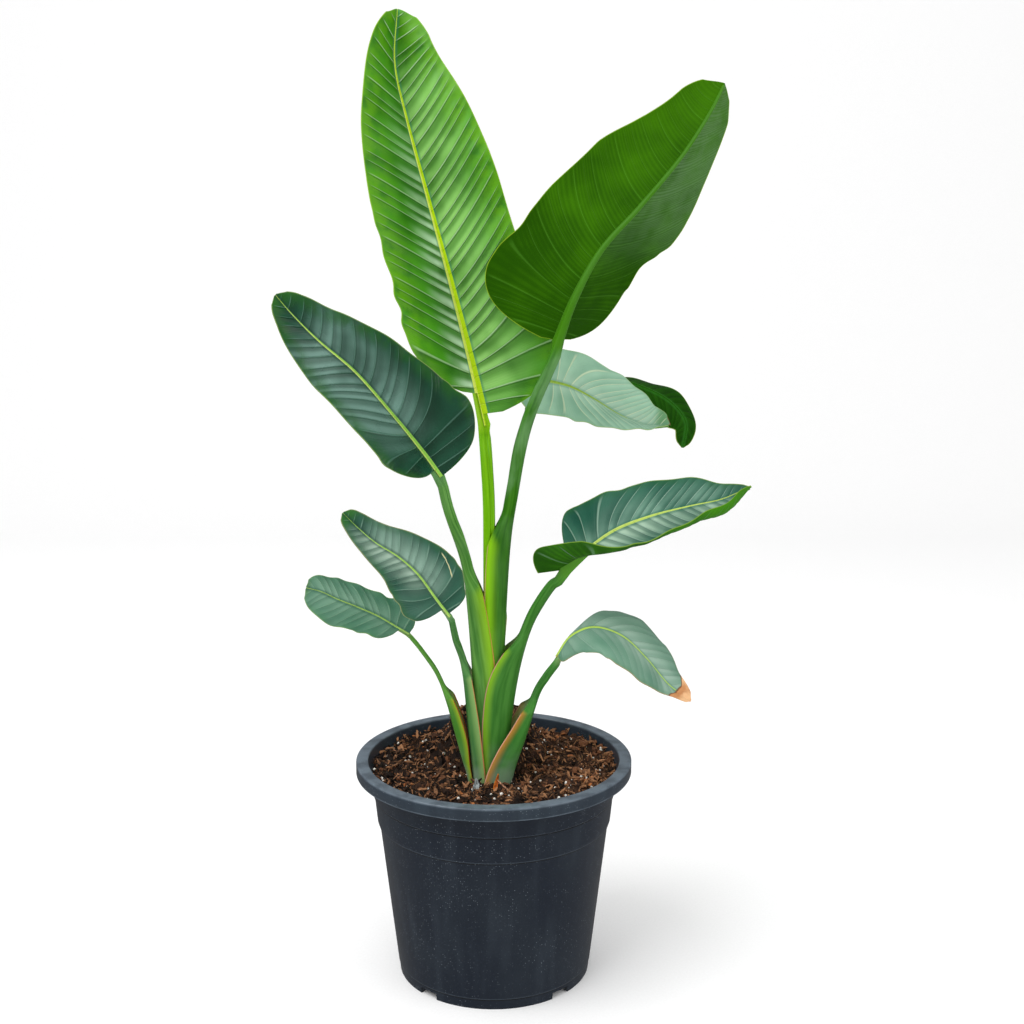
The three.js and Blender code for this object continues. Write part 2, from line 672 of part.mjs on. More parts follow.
// Soil filling the pot: broken ground on top, its sides following the pot's inner wall.
function soilFill() {
  const { rings, segments } = SOIL;
  const inside = potInside(SOIL.level).map(([r, z]) => [r - GAP, z]);
  inside[0][1] = POT.floorTop + GAP;
  const [topRadius] = inside.at(-1);
  const circle = (r, heightAt) => Array.from({ length: segments }, (_, k) => {
    const angle = (2 * Math.PI * k) / segments;
    const [x, y] = [r * Math.cos(angle), r * Math.sin(angle)];
    return new THREE.Vector3(x, y, heightAt(x, y));
  });
  const walls = inside.map(([r, z]) => circle(r, () => z));
  const ground = Array.from({ length: rings }, (_, k) => circle(topRadius * (1 - k / rings), soilHeight));
  const all = [...walls, ...ground];
  const capped = (ring) => ring.map((p) => new THREE.Vector2(p.x, p.y));
  return skin(all, [capped(all[0]), capped(all.at(-1))]);
}

const CROWN = { height: 40, front: [24, 19], back: [11, 14], link: 9 };
const ROOTS = { count: 7, thick: 4.4, thin: 1.8, length: 92, drop: 70, sides: 5 };

// Short underground stem under both shoots with the first thick roots; grow widens it.
function crownSolid(grow) {
  const lump = ([rx, ry], [x, y]) => {
    const drum = new THREE.CylinderGeometry(1, 0.7, CROWN.height + 2 * grow, 16).rotateX(Math.PI / 2);
    drum.scale(rx + grow, ry + grow, 1);
    return toSolid(drum.translate(x, y, STALK_FOOT - GAP - CROWN.height / 2));
  };
  const length = BACK_SHOOT[1] - FRONT_SHOOT[1];
  const link = new THREE.CylinderGeometry(CROWN.link + grow, CROWN.link + grow, length, 8);
  link.translate(FRONT_SHOOT[0], (BACK_SHOOT[1] + FRONT_SHOOT[1]) / 2, STALK_FOOT - CROWN.height / 2);
  let crown = lump(CROWN.front, FRONT_SHOOT).add(lump(CROWN.back, [-4, 45])).add(toSolid(link));
  for (let k = 0; k < ROOTS.count; k += 1) crown = crown.add(toSolid(rootGeometry(k, grow)));
  return crown;
}

function rootGeometry(index, grow) {
  const angle = (2 * Math.PI * (index + 0.3)) / ROOTS.count;
  const out = new THREE.Vector3(Math.cos(angle), Math.sin(angle), 0);
  const from = new THREE.Vector3(FRONT_SHOOT[0], FRONT_SHOOT[1] + (out.y > 0.4 ? 62 : 0), STALK_FOOT - 24);
  const reach = ROOTS.length * (out.y < -0.4 ? 0.75 : 0.9);
  const curve = new THREE.QuadraticBezierCurve3(
    from,
    moved(from, [out, reach * 0.6]),
    moved(from, [out, reach * 0.8], [new THREE.Vector3(0, 0, -1), ROOTS.drop + 9 * (index % 3)]),
  );
  const down = new THREE.Vector3(0, 0, 1);
  const rings = [0, 0.35, 0.7, 1].map((t) => {
    const { right, up } = axes(curve.getTangent(t), out.clone().cross(down));
    const r = lerp(ROOTS.thick, ROOTS.thin, t) + grow;
    return Array.from({ length: ROOTS.sides }, (_, k) => {
      const turn = (2 * Math.PI * k) / ROOTS.sides;
      return moved(curve.getPoint(t), [up, r * Math.cos(turn)], [right, r * Math.sin(turn)]);
    });
  });
  const cap = Array.from({ length: ROOTS.sides }, (_, k) => {
    const turn = (2 * Math.PI * k) / ROOTS.sides;
    return new THREE.Vector2(Math.cos(turn), Math.sin(turn));
  });
  return skin(rings, [cap, cap]);
}

function soilGeometry() {
  let soil = toSolid(soilFill()).subtract(crownSolid(GAP));
  LEAVES.forEach((leaf) => {
    const top = leaf.shoot === BACK_SHOOT ? 280 : 232;
    soil = soil.subtract(toSolid(plugGeometry(leaf, STALK_FOOT - 2 * GAP, top)));
  });
  return toGeometry(soil);
}

// Materials.

const material = (color, roughness) => new THREE.MeshStandardMaterial({ color, roughness, metalness: 0 });
const POT_PLASTIC = material('#2d343c', 0.5);
const POTTING_SOIL = material('#3a2418', 0.95);
const CROWN_BARK = material('#8a6a48', 0.85);
const LEAF_COLOURS = {
  leaf_1: { blade: '#4f8a22', stalk: '#7cae1c', roughness: 0.4 },
  leaf_2: { blade: '#2d5c16', stalk: '#3f7424', roughness: 0.45 },
  leaf_3: { blade: '#23463a', stalk: '#4c7644', roughness: 0.3 },
  leaf_4: { blade: '#37604f', stalk: '#557c4c', roughness: 0.38 },
  leaf_5: { blade: '#43705a', stalk: '#5f8650', roughness: 0.42 },
  leaf_6: { blade: '#3a6248', stalk: '#4f7d3e', roughness: 0.4 },
  leaf_7: { blade: '#55795f', stalk: '#5b8248', roughness: 0.45 },
  leaf_8: { blade: '#7d9c80', stalk: '#5d8440', roughness: 0.42 },
  leaf_9: { blade: '#335f24', stalk: '#5d8440', roughness: 0.42 },
};

// Assembly.

function part(name, geometry, surface) {
  const mesh = new THREE.Mesh(geometry, surface);
  mesh.name = name;
  return mesh;
}

const plant = new THREE.Group();
plant.add(part('crown', toGeometry(crownSolid(0)), CROWN_BARK));
LEAVES.forEach((leaf) => {
  const { blade, stalk, roughness } = LEAF_COLOURS[leaf.name];
  plant.add(part(`${leaf.name}_stalk`, stalkGeometry(leaf), material(stalk, 0.5)));
  plant.add(part(`${leaf.name}_blade`, bladeGeometry(leaf), material(blade, roughness)));
});

const pottedPlant = new THREE.Group();
pottedPlant.add(part('pot', potGeometry(), POT_PLASTIC));
pottedPlant.add(part('soil', soilGeometry(), POTTING_SOIL));
pottedPlant.add(plant);

export default pottedPlant;
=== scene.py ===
import math
import random
from functools import partial

import bmesh
import bpy
import numpy as np
from bpy.props import FloatProperty, FloatVectorProperty, IntProperty, PointerProperty
from bpy.types import Operator, Panel, PropertyGroup
from mathutils import Euler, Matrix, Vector, noise


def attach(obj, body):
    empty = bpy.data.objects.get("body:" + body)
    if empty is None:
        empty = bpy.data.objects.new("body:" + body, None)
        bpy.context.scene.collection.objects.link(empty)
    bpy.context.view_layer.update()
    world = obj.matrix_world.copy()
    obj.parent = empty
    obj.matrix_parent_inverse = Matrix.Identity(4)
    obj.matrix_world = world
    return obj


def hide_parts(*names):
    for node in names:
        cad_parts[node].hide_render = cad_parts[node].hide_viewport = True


bl_info = {
    "name": "Potted bird of paradise",
    "version": (1, 0, 0),
    "blender": (4, 5, 0),
    "location": "3D View > Sidebar > Plant",
    "description": "Builds the looks of a young bird of paradise in a nursery pot",
    "category": "Object",
}

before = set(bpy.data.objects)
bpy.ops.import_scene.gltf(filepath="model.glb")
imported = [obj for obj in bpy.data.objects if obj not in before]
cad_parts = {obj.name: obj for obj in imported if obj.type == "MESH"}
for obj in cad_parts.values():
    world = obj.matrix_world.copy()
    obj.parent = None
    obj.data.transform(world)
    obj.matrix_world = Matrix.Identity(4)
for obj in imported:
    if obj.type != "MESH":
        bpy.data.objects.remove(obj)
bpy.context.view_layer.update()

MM = 0.001  # the measurements below are in millimetres

# Measurements shared with the solid model.
GAP = 0.3
POT_HEIGHT = 226
RIM_RADIUS = 140
RIM_INNER = 127.6
RIM_BAND = 12.6
FOOT_RADIUS = 98.2
FOOT_RING = 4.2
FLOOR_UNDER = 6.8
FLOOR_TOP = 9.5
PAD_RADIUS = 26
WALL = 2.2
SLOT_AZIMUTHS = (48, 132, 228, 312)
SLOT_WIDTH = 21
SLOT_DEPTH = 12
DRAIN_RADIUS = 6
DRAIN_AT = 78
# Outer wall from the foot up, as (radius, height): foot line, taper, collar, step, collar top.
OUTER_WALL = [
    (98.2, 0), (99.2, 10.2), (99.8, 11), (116.4, 155), (119.2, 163.5), (119.6, 167),
    (121.8, 189.2), (122.8, 190.4), (125, 212),
]

SOIL_LEVEL = 212
SOIL_RISE = 4
SOIL_CLOD = 2.6
MOUND = dict(x=-4, y=50, height=50, radius=50)

FRONT_SHOOT = (-4, -26)
BACK_SHOOT = (-4, 42)
STALK_FOOT = 192
SHEATH_SPREAD = 0.0085
MOUTH_FADE = 0.13
SECTION_BEND = 0.76
BLADE_HALF = 0.35
BLADE_LEAST = 1.6
MIDRIB_TIP = 1.1

# Measurements of the looks alone.
RIM_CORNER = 2.2
RIB_RISE = 0.7
LOBE_END = 0.16
FAR_OFF = 99.0
SPAN_STEPS = 5
OUTSIDE_POINTS = 6 * SPAN_STEPS + 1
FRONT_GROUND = 214
BACK_GROUND = 262
CRUMB_SIZE, CRUMB_HEIGHT = 10, 4.2
LUMP_SIZE, LUMP_HEIGHT = 5, 3.2
SHRED_SIZE, SHRED_HEIGHT = 2.4, 2.2
GROUND_REACH = 125.5
GROUND_RINGS = 150
GROUND_AROUND = 420
FIBRE_START = 118
FIBRE_REACH = 125
FIBRE_SIDES = 4
FIBRE_STEPS = 9

# Where the photograph was taken from: place in m, turn in degrees, sensor in mm.
CAMERA_PLACE = (0, -1.3872, 0.746)
CAMERA_DOWN = 10.888
CAMERA_ASIDE = -0.763
SENSOR_WIDTH = 36

# One entry a leaf: the middle line of its stalk, the stalk's half thickness, the way its sheath
# opens, the sheath (its top, how far its margins reach round, its inner and outer face from the
# shoot's middle), the midrib, the direction of the right half, the half widths (`half_right` where
# the right one differs), the angles that both halves rise and curl, and how base, tip, lobes,
# veins and margin run. The smooth blades bulge a little past the faceted solids, so the far points
# of three midribs (leaf_1, leaf_3, leaf_9) and the wave of leaf_8 are drawn in a little here.
LEAVES = [
    dict(
        name="leaf_1",  # newest and tallest, upper face to the front
        stalk=[[-4.6, -26, 192], [-4.6, -26, 300], [-4.1, -26, 415], [-3.9, -25.8, 487],
               [-6, -19, 530]], thick=[4.2, 4.6, 5.1, 5.8, 6.1, 6], opens=[1, 0],
        shoot=FRONT_SHOOT, core=True, sheath=dict(top=300, reach=[3, 3], inner=1, outer=5),
        rib=[[-8, -4, 566], [-22, 2, 628], [-41, 12, 704], [-63, 22, 785], [-82, 28, 856],
             [-93, 33, 908], [-90, 36, 957.9]], side=[1, 0, 0], half=[110, 84, 79, 78, 68, 46, 22],
        left=[56, 48, 52, 66], right=[7, 25, 26, 15], curl=[[-16, -22, -16], [-12, -18, -14]],
        base=0.09, tip=0.1, start=[0.08, 0.03], lobe=[8, 8], sweep=0.35, wave=2.2,
    ),
    dict(
        name="leaf_2",  # arches to the right with its underside to the front
        stalk=[[2.9, -26, 192], [5.4, -26, 300], [7.4, -26, 385], [10.5, -26, 452],
               [16.7, -30, 497], [31, -43, 571]], thick=[2.7, 3.8, 5.2, 6.6, 6.2, 5.4],
        opens=[-1, 0], shoot=FRONT_SHOOT,
        sheath=dict(top=488, reach=[15, 17, 15, 13, 9], inner=5.1, outer=7.2),
        rib=[[59, -62, 650], [74, -66, 690], [98, -70, 734], [132, -72, 772], [168, -72, 815],
             [193, -70, 853], [208, -60, 881]], side=[-0.85, 0, 0.5],
        half=[100, 82, 82, 80, 60, 39, 26], left=[61, 52, 54, 50], right=[8, 33, 30, 18],
        curl=[[-20, -20], [-24, -16]], base=0.09, tip=0.12, start=[0.02, 0.01], lobe=[5, 5],
        sweep=0.3, wave=2.4,
    ),
    dict(
        name="leaf_3",  # arches to the left, dark and glossy
        stalk=[[-12, -26, 192], [-15.4, -26, 300], [-19.8, -26, 387], [-26, -30, 435],
               [-42, -45, 489]], thick=[2.6, 3.8, 5.2, 6.1, 5.7, 5.2], opens=[1, 0],
        shoot=FRONT_SHOOT, sheath=dict(top=432, reach=[8, 14.5, 19, 18, 13], inner=7.5, outer=9.6),
        rib=[[-50, -58, 524], [-66, -62, 548], [-94, -68, 585], [-126, -74, 624], [-158, -80, 653],
             [-180, -84, 676], [-195.5, -86, 694.7]], side=[0.62, 0.35, 0.65],
        half=[68, 62, 55, 47, 37, 25, 10], left=[46, 36, 16, 26], right=[16, 27, 28, 18],
        curl=[[-20, -34, -24], [-24, -30, -20]], base=0.13, tip=0.08, start=[0.04, 0], lobe=[0, 0],
        sweep=0.3, wave=1.8,
    ),
    dict(
        name="leaf_4",  # small, left of the middle
        stalk=[[-17.4, -26, 192], [-20.4, -26, 232], [-24.8, -26, 299], [-29, -30, 333],
               [-36, -44, 360]], thick=[2.2, 2.7, 3.8, 3.9, 3.7, 3.2], opens=[1, 0],
        shoot=FRONT_SHOOT,
        sheath=dict(top=338, reach=[4.5, 6.6, 9.2, 10.8, 11], inner=12.7, outer=14.7, tuck=0.95),
        rib=[[-42, -68, 391], [-55, -72, 410], [-71, -76, 434], [-89, -80, 452], [-109, -84, 466],
             [-125, -88, 481], [-139, -90, 496]], side=[0.6, 0.35, 0.68],
        half=[22, 37, 35, 28, 21, 15, 8], left=[17, 17, 25, 32], right=[26, 27, 23, 18],
        curl=[[-20, -26, -20], [-20, -26, -20]], base=0.035, tip=0.08, start=[0.075, 0.025],
        lobe=[2, 2], sweep=0.3, wave=1.4,
    ),
    dict(
        name="leaf_5",  # lowest on the left
        stalk=[[-22.6, -26, 192], [-25.2, -26, 216], [-30.6, -26, 236], [-44, -26, 290],
               [-55, -30, 322], [-70, -36, 348]], thick=[1.8, 2.1, 2.6, 2.6, 2.4, 2.3],
        opens=[1, 0], shoot=FRONT_SHOOT,
        sheath=dict(top=312, reach=[5, 8.4, 8.7, 4, 2.2], inner=9, outer=11, tuck=0.9),
        rib=[[-83, -40, 366], [-95, -42, 374], [-112, -44, 385], [-132, -46, 395],
             [-150, -48, 403], [-166, -49, 411], [-180, -50, 415]], side=[0.2, 0.65, 0.72],
        half=[31, 25, 24, 26, 27, 21, 14], left=[10, 1, -5, -5], right=[16, -3, -18, -16],
        curl=[[-16, -20, -16], [-20, -24, -20]], base=0.17, tip=0.12, start=[0.1, 0], lobe=[4, 4],
        sweep=0.3, wave=1.2,
    ),
    dict(
        name="leaf_6",  # arches to the right, near half turned up toward its tip
        stalk=[[8.9, -26, 192], [11.2, -26, 232], [16.4, -26, 296], [24.6, -26, 343],
               [36.8, -30, 380], [54, -40, 412]], thick=[2.7, 3, 4.4, 5.5, 5.6, 5.2],
        opens=[-1, 0], shoot=FRONT_SHOOT,
        sheath=dict(top=366, reach=[7, 23.4, 25.8, 23, 18.5], inner=10, outer=12.3, tuck=0.83),
        rib=[[67, -48, 432], [90, -50, 452], [117, -53, 472], [151, -56, 486], [186, -57, 495],
             [217, -58, 502], [244, -58, 514]], side=[0.1, -1, 0],
        half=[70, 47, 38, 34, 30, 18, 2], half_right=[46, 44, 40, 40, 40, 37, 5],
        left=[27, 52, 54, 47], right=[85, 14, -20, -18, -2, 16, 38],
        curl=[[10, 20, 10], [100, 90, 100, 115, 125, 165, 150]], base=0.05, tip=0.05,
        start=[0.06, 0], lobe=[8, 22], sweep=0.3, wave=0.8,
    ),
    dict(
        name="leaf_7",  # droops on the right, its tip dried
        stalk=[[15, -26, 192], [16.3, -26, 213], [26, -26, 250], [41, -26, 298], [51, -36, 320]],
        thick=[2.5, 3.2, 4.6, 4.6, 4.2, 3.8], opens=[-1, 0], shoot=FRONT_SHOOT,
        sheath=dict(top=297, reach=[7, 13.6, 21.5, 25.5, 25], inner=15.1, outer=17.1, tuck=0.91),
        rib=[[61, -52, 347], [74, -55, 367], [96, -58, 377], [123, -61, 369], [146, -64, 348],
             [168, -66, 322], [190, -68, 306]], side=[0.1, -1, 0], half=[6, 18, 50, 52, 42, 24, 5],
        half_right=[22, 36, 47, 46, 36, 17, 4], left=[-20, 10, 30, 44], right=[-24, -24, -24, -20],
        curl=[[-24, -30, -20], [-30, -36, -24]], base=0.18, tip=0.05, start=[0.1, 0.02],
        lobe=[14, 14], sweep=0.3, wave=0.5,
    ),
    dict(
        name="leaf_8",  # back shoot, pale, to the right behind leaf_2
        stalk=[[-4, 40, 192], [1, 42, 300], [9.4, 46, 400], [14.3, 50, 458], [23, 54, 505],
               [33, 57, 551]], thick=[3.6, 4.2, 4.6, 4.6, 4.3, 3.8], opens=[0, 1],
        shoot=BACK_SHOOT, core=True, sheath=dict(top=290, reach=[2.6, 2.6], inner=1, outer=4.4),
        rib=[[48, 61, 603], [60, 64, 601], [80, 68, 595], [104, 72, 582], [130, 74, 566],
             [157, 74, 555], [182, 72, 556]], side=[0.1, -1, 0], half=[38, 42, 43, 45, 41, 28, 10],
        left=[60, 55, 51, 50], right=[-55, -34, -7, 10], curl=[[-14, -20, -14], [-20, -30, -30]],
        base=0.04, tip=0.06, start=[0, 0], lobe=[28, 28], sweep=0.2, wave=0.8,
    ),
    dict(
        name="leaf_9",  # back shoot, behind leaf_8, its tip hangs
        stalk=[[-4, 50, 192], [1, 54, 290], [9.6, 60, 400], [15.6, 66, 462], [24.8, 74, 510],
               [37.5, 81, 558]], thick=[2.6, 3.4, 4, 4, 4, 3.8], opens=[0, -1], shoot=BACK_SHOOT,
        sheath=dict(top=380, reach=[6, 12, 15, 15, 13], inner=4.6, outer=6.6, tuck=0.85),
        rib=[[56, 86, 597], [90, 100, 603], [126, 118, 599], [160, 128, 589], [189, 132.7, 573],
             [206, 132.5, 551], [203, 128.7, 524]], side=[-0.7, -0.7, 0.1],
        half=[10, 12, 14, 18, 24, 18, 6], half_right=[16, 18, 23, 29, 31, 18, 6],
        left=[-8, -6, 2, 8], right=[-42, -38, -31, -23], curl=[[-10, -16, -16], [-16, -24, -20]],
        base=0.12, tip=0.06, start=[0, 0], lobe=[6, 6], sweep=0.3, wave=1.6,
    ),
]

# What the eye sees on each leaf. Pairs are dark and light, or left and right half.
# Upper face: `upper`, a dark and a light tone, mixed by mottle and by a painted highlight on the
# slope above each vein; `rim`, the tone toward the margin, its share and breadth; `sheen`, a
# painted sheen beside the rib, with tone, share and reach, `lit` the shares of the length where it
# comes, is full, goes and ends, `flat` how even it is between two veins; `vein`, its pale line
# partly its own tone and partly a painted highlight, with its share; `groove_depth_and_shade`, how
# deep the groove below a vein is and how dark its painted shadow; `rib`, its left and right slope
# painted as a lit and a shaded side, and `rib_side_shade`, a painted shade beside the rib; `edge`
# of the lamina;
# `tip`, its tone and where it starts; `scar`, where it starts and ends and its place across;
# `dry`, where the dried tip starts.
# Underside: `under`, and `greyed` on one half with tone and share.
# Stalk: `stalk`, the `band` along the sheath's margin with its breadth, its `dry_edge`, the `keel`
# under the blade and the share of `bloom`.
# Form: `spacing` of the veins and depth of a `pleat`, how the veins `slant` and `bow` toward the
# tip, and `frill`, the fine waves of the margin with height, length and the share where they end.
USUAL = dict(bow=(0.1, 0.1), lit=((0, 0.2, 0.8, 1), (0, 0.2, 0.8, 1)), flat=(0.6, 0.6))
LOOKS = {
    "leaf_1": dict(
        upper=("#246602", "#46921a"), rim=("#5c9c04", 0.7, 38),
        sheen=(("#d6f0d4", 0.88, 44), ("#aae082", 0.72, 84)),
        lit=((0, 0.08, 0.4, 0.85), (0, 0.12, 0.72, 0.94)), flat=(0.1, 0.4), vein="#b4d8a4",
        vein_share=0.75, groove_depth_and_shade=0.5, rib=("#e4ee6c", "#aed206"), rib_side_shade="#3c8460",
        edge="#8fb428", under=("#3f8a14", "#5f9e2c"), stalk=("#62a402", "#79b806"),
        band=("#8cc414", 8), dry_edge="#a8b45a", keel="#8cc014", bloom=0.0, spacing=12.6,
        pleat=1.5, slant=(0.42, 0.5), bow=(0.14, 0.24), frill=((1.8, 34, 0.52), (0.9, 30, 0.3)),
        rib_width=1.15, rough=0.34, specular=0.3,
    ),
    "leaf_2": dict(
        upper=("#2c6c12", "#3f8420"), rim=("#3f7c10", 0.3, 12),
        sheen=(("#8fb890", 0.2, 30), ("#8fb890", 0.2, 30)),
        lit=((0, 0.1, 0.9, 1), (0, 0.1, 0.9, 1)), flat=(0.5, 0.5), vein="#5a9a30", vein_share=0.35,
        groove_depth_and_shade=0.25, rib=("#3a7f0c", "#3a7f0c"), rib_side_shade="#1c4a10", edge="#8fae2a",
        under=("#1d4600", "#346604"), greyed=(0, "#5a7852", 0.65), stalk=("#235a08", "#387410"),
        band=("#88c406", 15), dry_edge="#b79a62", keel="#3a7008", bloom=0.6, spacing=11.0,
        pleat=0.5, slant=(0.35, 0.1), bow=(0.6, 0.35), frill=((2.0, 38, 0.5), (0.9, 30, 0.3)),
        rib_width=0.8, rough=0.4, specular=0.03,
    ),
    "leaf_3": dict(
        upper=("#0b3220", "#174a34"), rim=("#1c5210", 0.75, 16),
        sheen=(("#8fb0a6", 0.55, 96), ("#86aca0", 0.68, 46)),
        lit=((0.08, 0.34, 0.68, 0.9), (0.12, 0.36, 0.68, 0.9)), flat=(0.42, 0.62), vein="#5c8876",
        vein_share=0.5, groove_depth_and_shade=0.35, rib=("#b4cc62", "#86bc44"), rib_side_shade="#123c2c",
        edge="#7f9a4c", tip=("#1f5a10", 0.9), under=("#245c20", "#347030"),
        stalk=("#3c7428", "#629844"), band=("#84b414", 16), dry_edge="#c98850", keel="#5a8a50",
        bloom=0.25, spacing=12.5, pleat=0.9, slant=(0.8, 0.45), bow=(0.12, 0.35),
        frill=((1.2, 26, 0.25), (0.9, 22, 0.28)), rib_width=0.7, rough=0.25, specular=0.5,
    ),
    "leaf_4": dict(
        USUAL, upper=("#1a4636", "#2a5c48"), rim=("#2c5f30", 0.5, 8),
        sheen=(("#a8bfac", 0.85, 26), ("#a0c0ae", 0.7, 32)),
        lit=((0.2, 0.4, 0.7, 0.98), (0.1, 0.3, 0.6, 0.9)), flat=(0.5, 0.75), vein="#7fa490",
        vein_share=0.5, groove_depth_and_shade=0.2, rib=("#a4cc5c", "#8cbc4c"), rib_side_shade="#1c4636",
        edge="#8f9460", tip=("#2c6a1c", 0.88), scar=(0.18, 0.34, 0.72),
        under=("#2c6438", "#3c7448"), stalk=("#326a34", "#4f8040"), band=("#84a860", 9),
        dry_edge="#cc7c50", keel="#6a9460", bloom=0.25, spacing=9.0, pleat=0.6, slant=(0.7, 0.5),
        frill=((1.5, 18, 0.35), (0.8, 16, 0.3)), rib_width=0.65, rough=0.3, specular=0.5,
    ),
    "leaf_5": dict(
        USUAL, upper=("#386850", "#548068"), rim=("#3a7244", 0.4, 8),
        sheen=(("#8fb09a", 0.4, 20), ("#8fb09a", 0.5, 20)), vein="#86b090", vein_share=0.4,
        groove_depth_and_shade=0.08, rib=("#9cc05c", "#8cb454"), rib_side_shade="#2c5c48", edge="#7a9a50",
        tip=("#3f6a24", 0.93), under=("#3a7040", "#47804f"), stalk=("#437c28", "#5a9038"),
        band=("#8aa524", 7), dry_edge="#b5562c", keel="#7a9a50", bloom=0.12, spacing=8.5,
        pleat=0.3, slant=(0.8, 0.8), frill=((0.8, 17, 0.5), (0.8, 15, 0.4)), rib_width=0.55,
        rough=0.34, specular=0.45,
    ),
    "leaf_6": dict(
        USUAL, upper=("#1e5040", "#356854"), rim=("#245c2c", 0.5, 8),
        sheen=(("#9cc0ac", 0.45, 30), ("#a8c4ac", 0.95, 36)),
        lit=((0, 0.1, 0.7, 1), (0, 0.1, 0.7, 1)), flat=(0.45, 0.45), vein="#a4c4b0",
        vein_share=0.55, groove_depth_and_shade=0.2, rib=("#c4d66c", "#b4cc60"), rib_side_shade="#2c6650",
        edge="#7c9c34", under=("#205206", "#3a7c0a"), stalk=("#2f6820", "#458030"),
        band=("#7cae20", 11), dry_edge="#b88a74", keel="#4f8a24", bloom=0.1, spacing=11.0,
        pleat=0.5, slant=(1.1, 0.9), frill=((0.7, 26, 0.5), (0.7, 24, 0.5)), rib_width=0.45,
        rough=0.32, specular=0.14,
    ),
    "leaf_7": dict(
        USUAL, upper=("#54806a", "#6c927c"), rim=("#4c7854", 0.4, 6),
        sheen=(("#a4bcac", 0.6, 30), ("#a4bcac", 0.6, 30)), vein="#9cb8a4", vein_share=0.35,
        groove_depth_and_shade=0.06, rib=("#a8c850", "#a8c850"), rib_side_shade="#50806a", edge="#a08c58", dry=0.91,
        under=("#4a7a4c", "#5c8c58"), stalk=("#2f6c26", "#458636"), band=("#b07a34", 10),
        dry_edge="#d29a80", keel="#7aa060", bloom=0.2, spacing=12.0, pleat=0.2, slant=(0.9, 0.7),
        frill=((0.8, 18, 0.5), (0.8, 20, 0.5)), rib_width=0.7, rough=0.46, specular=0.45,
    ),
    "leaf_8": dict(
        USUAL, upper=("#78a48a", "#9cc4a8"), rim=("#74a078", 0.3, 6),
        sheen=(("#b0c8b4", 0.5, 20), ("#b0c8b4", 0.4, 20)), vein="#d0dcb8", vein_share=0.7,
        groove_depth_and_shade=0.0, rib=("#86a832", "#93b440"), rib_side_shade="#6c9a80", edge="#98b470",
        tip=("#4c8648", 0.86), dry=1.05, under=("#4a8448", "#5a9258"),
        stalk=("#306a18", "#458024"), band=("#7fa83a", 8), dry_edge="#b09a6a", keel="#5a8a40",
        bloom=0.1, spacing=8.0, pleat=0.25, slant=(0.9, 0.8),
        frill=((0.4, 22, 0.6), (0.4, 24, 0.6)), rib_width=0.6, rough=0.42, specular=0.4,
    ),
    "leaf_9": dict(
        USUAL, upper=("#103a00", "#1c5004"), rim=("#225a02", 0.3, 6),
        sheen=(("#2f6a10", 0.2, 14), ("#2f6a10", 0.2, 14)), vein="#4f8a34", vein_share=0.06,
        groove_depth_and_shade=0.1, rib=("#1f5604", "#1f5604"), rib_side_shade="#2c6c20", edge="#a8bc5c",
        under=("#0c2e00", "#184402"), stalk=("#4a8430", "#5f9440"), band=("#7fa83a", 8),
        dry_edge="#b09a6a", keel="#2f7008", bloom=0.1, spacing=9.0, pleat=0.4, slant=(0.7, 0.7),
        frill=((0, 20, 1), (0, 20, 1)), rib_width=0.6, rough=0.36, specular=0.05,
    ),
}


# Numbers and curves.


def linear(hex_colour):
    """sRGB hex colour as linear red, green, blue and alpha."""
    channels = [int(hex_colour[k:k + 2], 16) / 255 for k in (1, 3, 5)]
    return [c / 12.92 if c <= 0.04045 else ((c + 0.055) / 1.055) ** 2.4 for c in channels] + [1.0]


def clamp(x, low=0.0, high=1.0):
    return np.minimum(np.maximum(x, low), high)


def smoothstep(x, low, high):
    t = clamp((x - low) / (high - low))
    return t * t * (3 - 2 * t)


def lerp(a, b, share):
    return a + (b - a) * share


def hermite(a, b, c, d, t):
    """Smooth value between b and c, with a before and d after them."""
    return (b + 0.5 * t * (c - a) + t * t * (a - 2.5 * b + 2 * c - 0.5 * d)
            + t ** 3 * (-0.5 * a + 1.5 * b - 1.5 * c + 0.5 * d))


def along(values, x):
    """Smooth value at x (0 to 1) of a list given at even steps."""
    v = np.asarray(values, float)
    last = len(v) - 1
    ext = np.concatenate([[2 * v[0] - v[1]], v, [2 * v[-1] - v[-2]]])
    at = clamp(np.asarray(x, float)) * last
    k = np.minimum(at.astype(int), last - 1)
    return hermite(ext[k], ext[k + 1], ext[k + 2], ext[k + 3], at - k)


def through(points, count):
    """Smooth line of points through the given ones, `count` steps between each pair."""
    p = np.asarray(points, float)
    ext = np.vstack([2 * p[0] - p[1], p, 2 * p[-1] - p[-2]])
    u = np.linspace(0, len(p) - 1, (len(p) - 1) * count + 1)
    k = np.minimum(u.astype(int), len(p) - 2)
    t = (u - k)[:, None]
    return hermite(ext[k], ext[k + 1], ext[k + 2], ext[k + 3], t)


class Course:
    """A smooth curve, read at a share of its length."""

    def __init__(self, points):
        self.line = through(points, 80)
        steps = np.linalg.norm(np.diff(self.line, axis=0), axis=1)
        self.far = np.concatenate([[0], np.cumsum(steps)])
        self.length = self.far[-1]

    def at(self, share):
        far = clamp(np.asarray(share, float)) * self.length
        return np.stack([np.interp(far, self.far, self.line[:, k]) for k in range(3)], -1)

    def tangent(self, share):
        share = np.asarray(share, float)
        return unit(self.at(share + 0.004) - self.at(share - 0.004))


def unit(v):
    """Vectors of length 1."""
    return v / np.maximum(np.linalg.norm(v, axis=-1, keepdims=True), 1e-9)


def by_half(v, pair):
    """The left value of a pair where v is negative, else the right one."""
    return np.where(v < 0, *pair)


def axes(tangent, side):
    """Unit axes along a leaf, to its right half, and up from its upper face."""
    dot = (side * tangent).sum(-1, keepdims=True)
    right = unit(side - dot * tangent)
    return tangent, right, np.cross(right, tangent)


# Leaf surface.


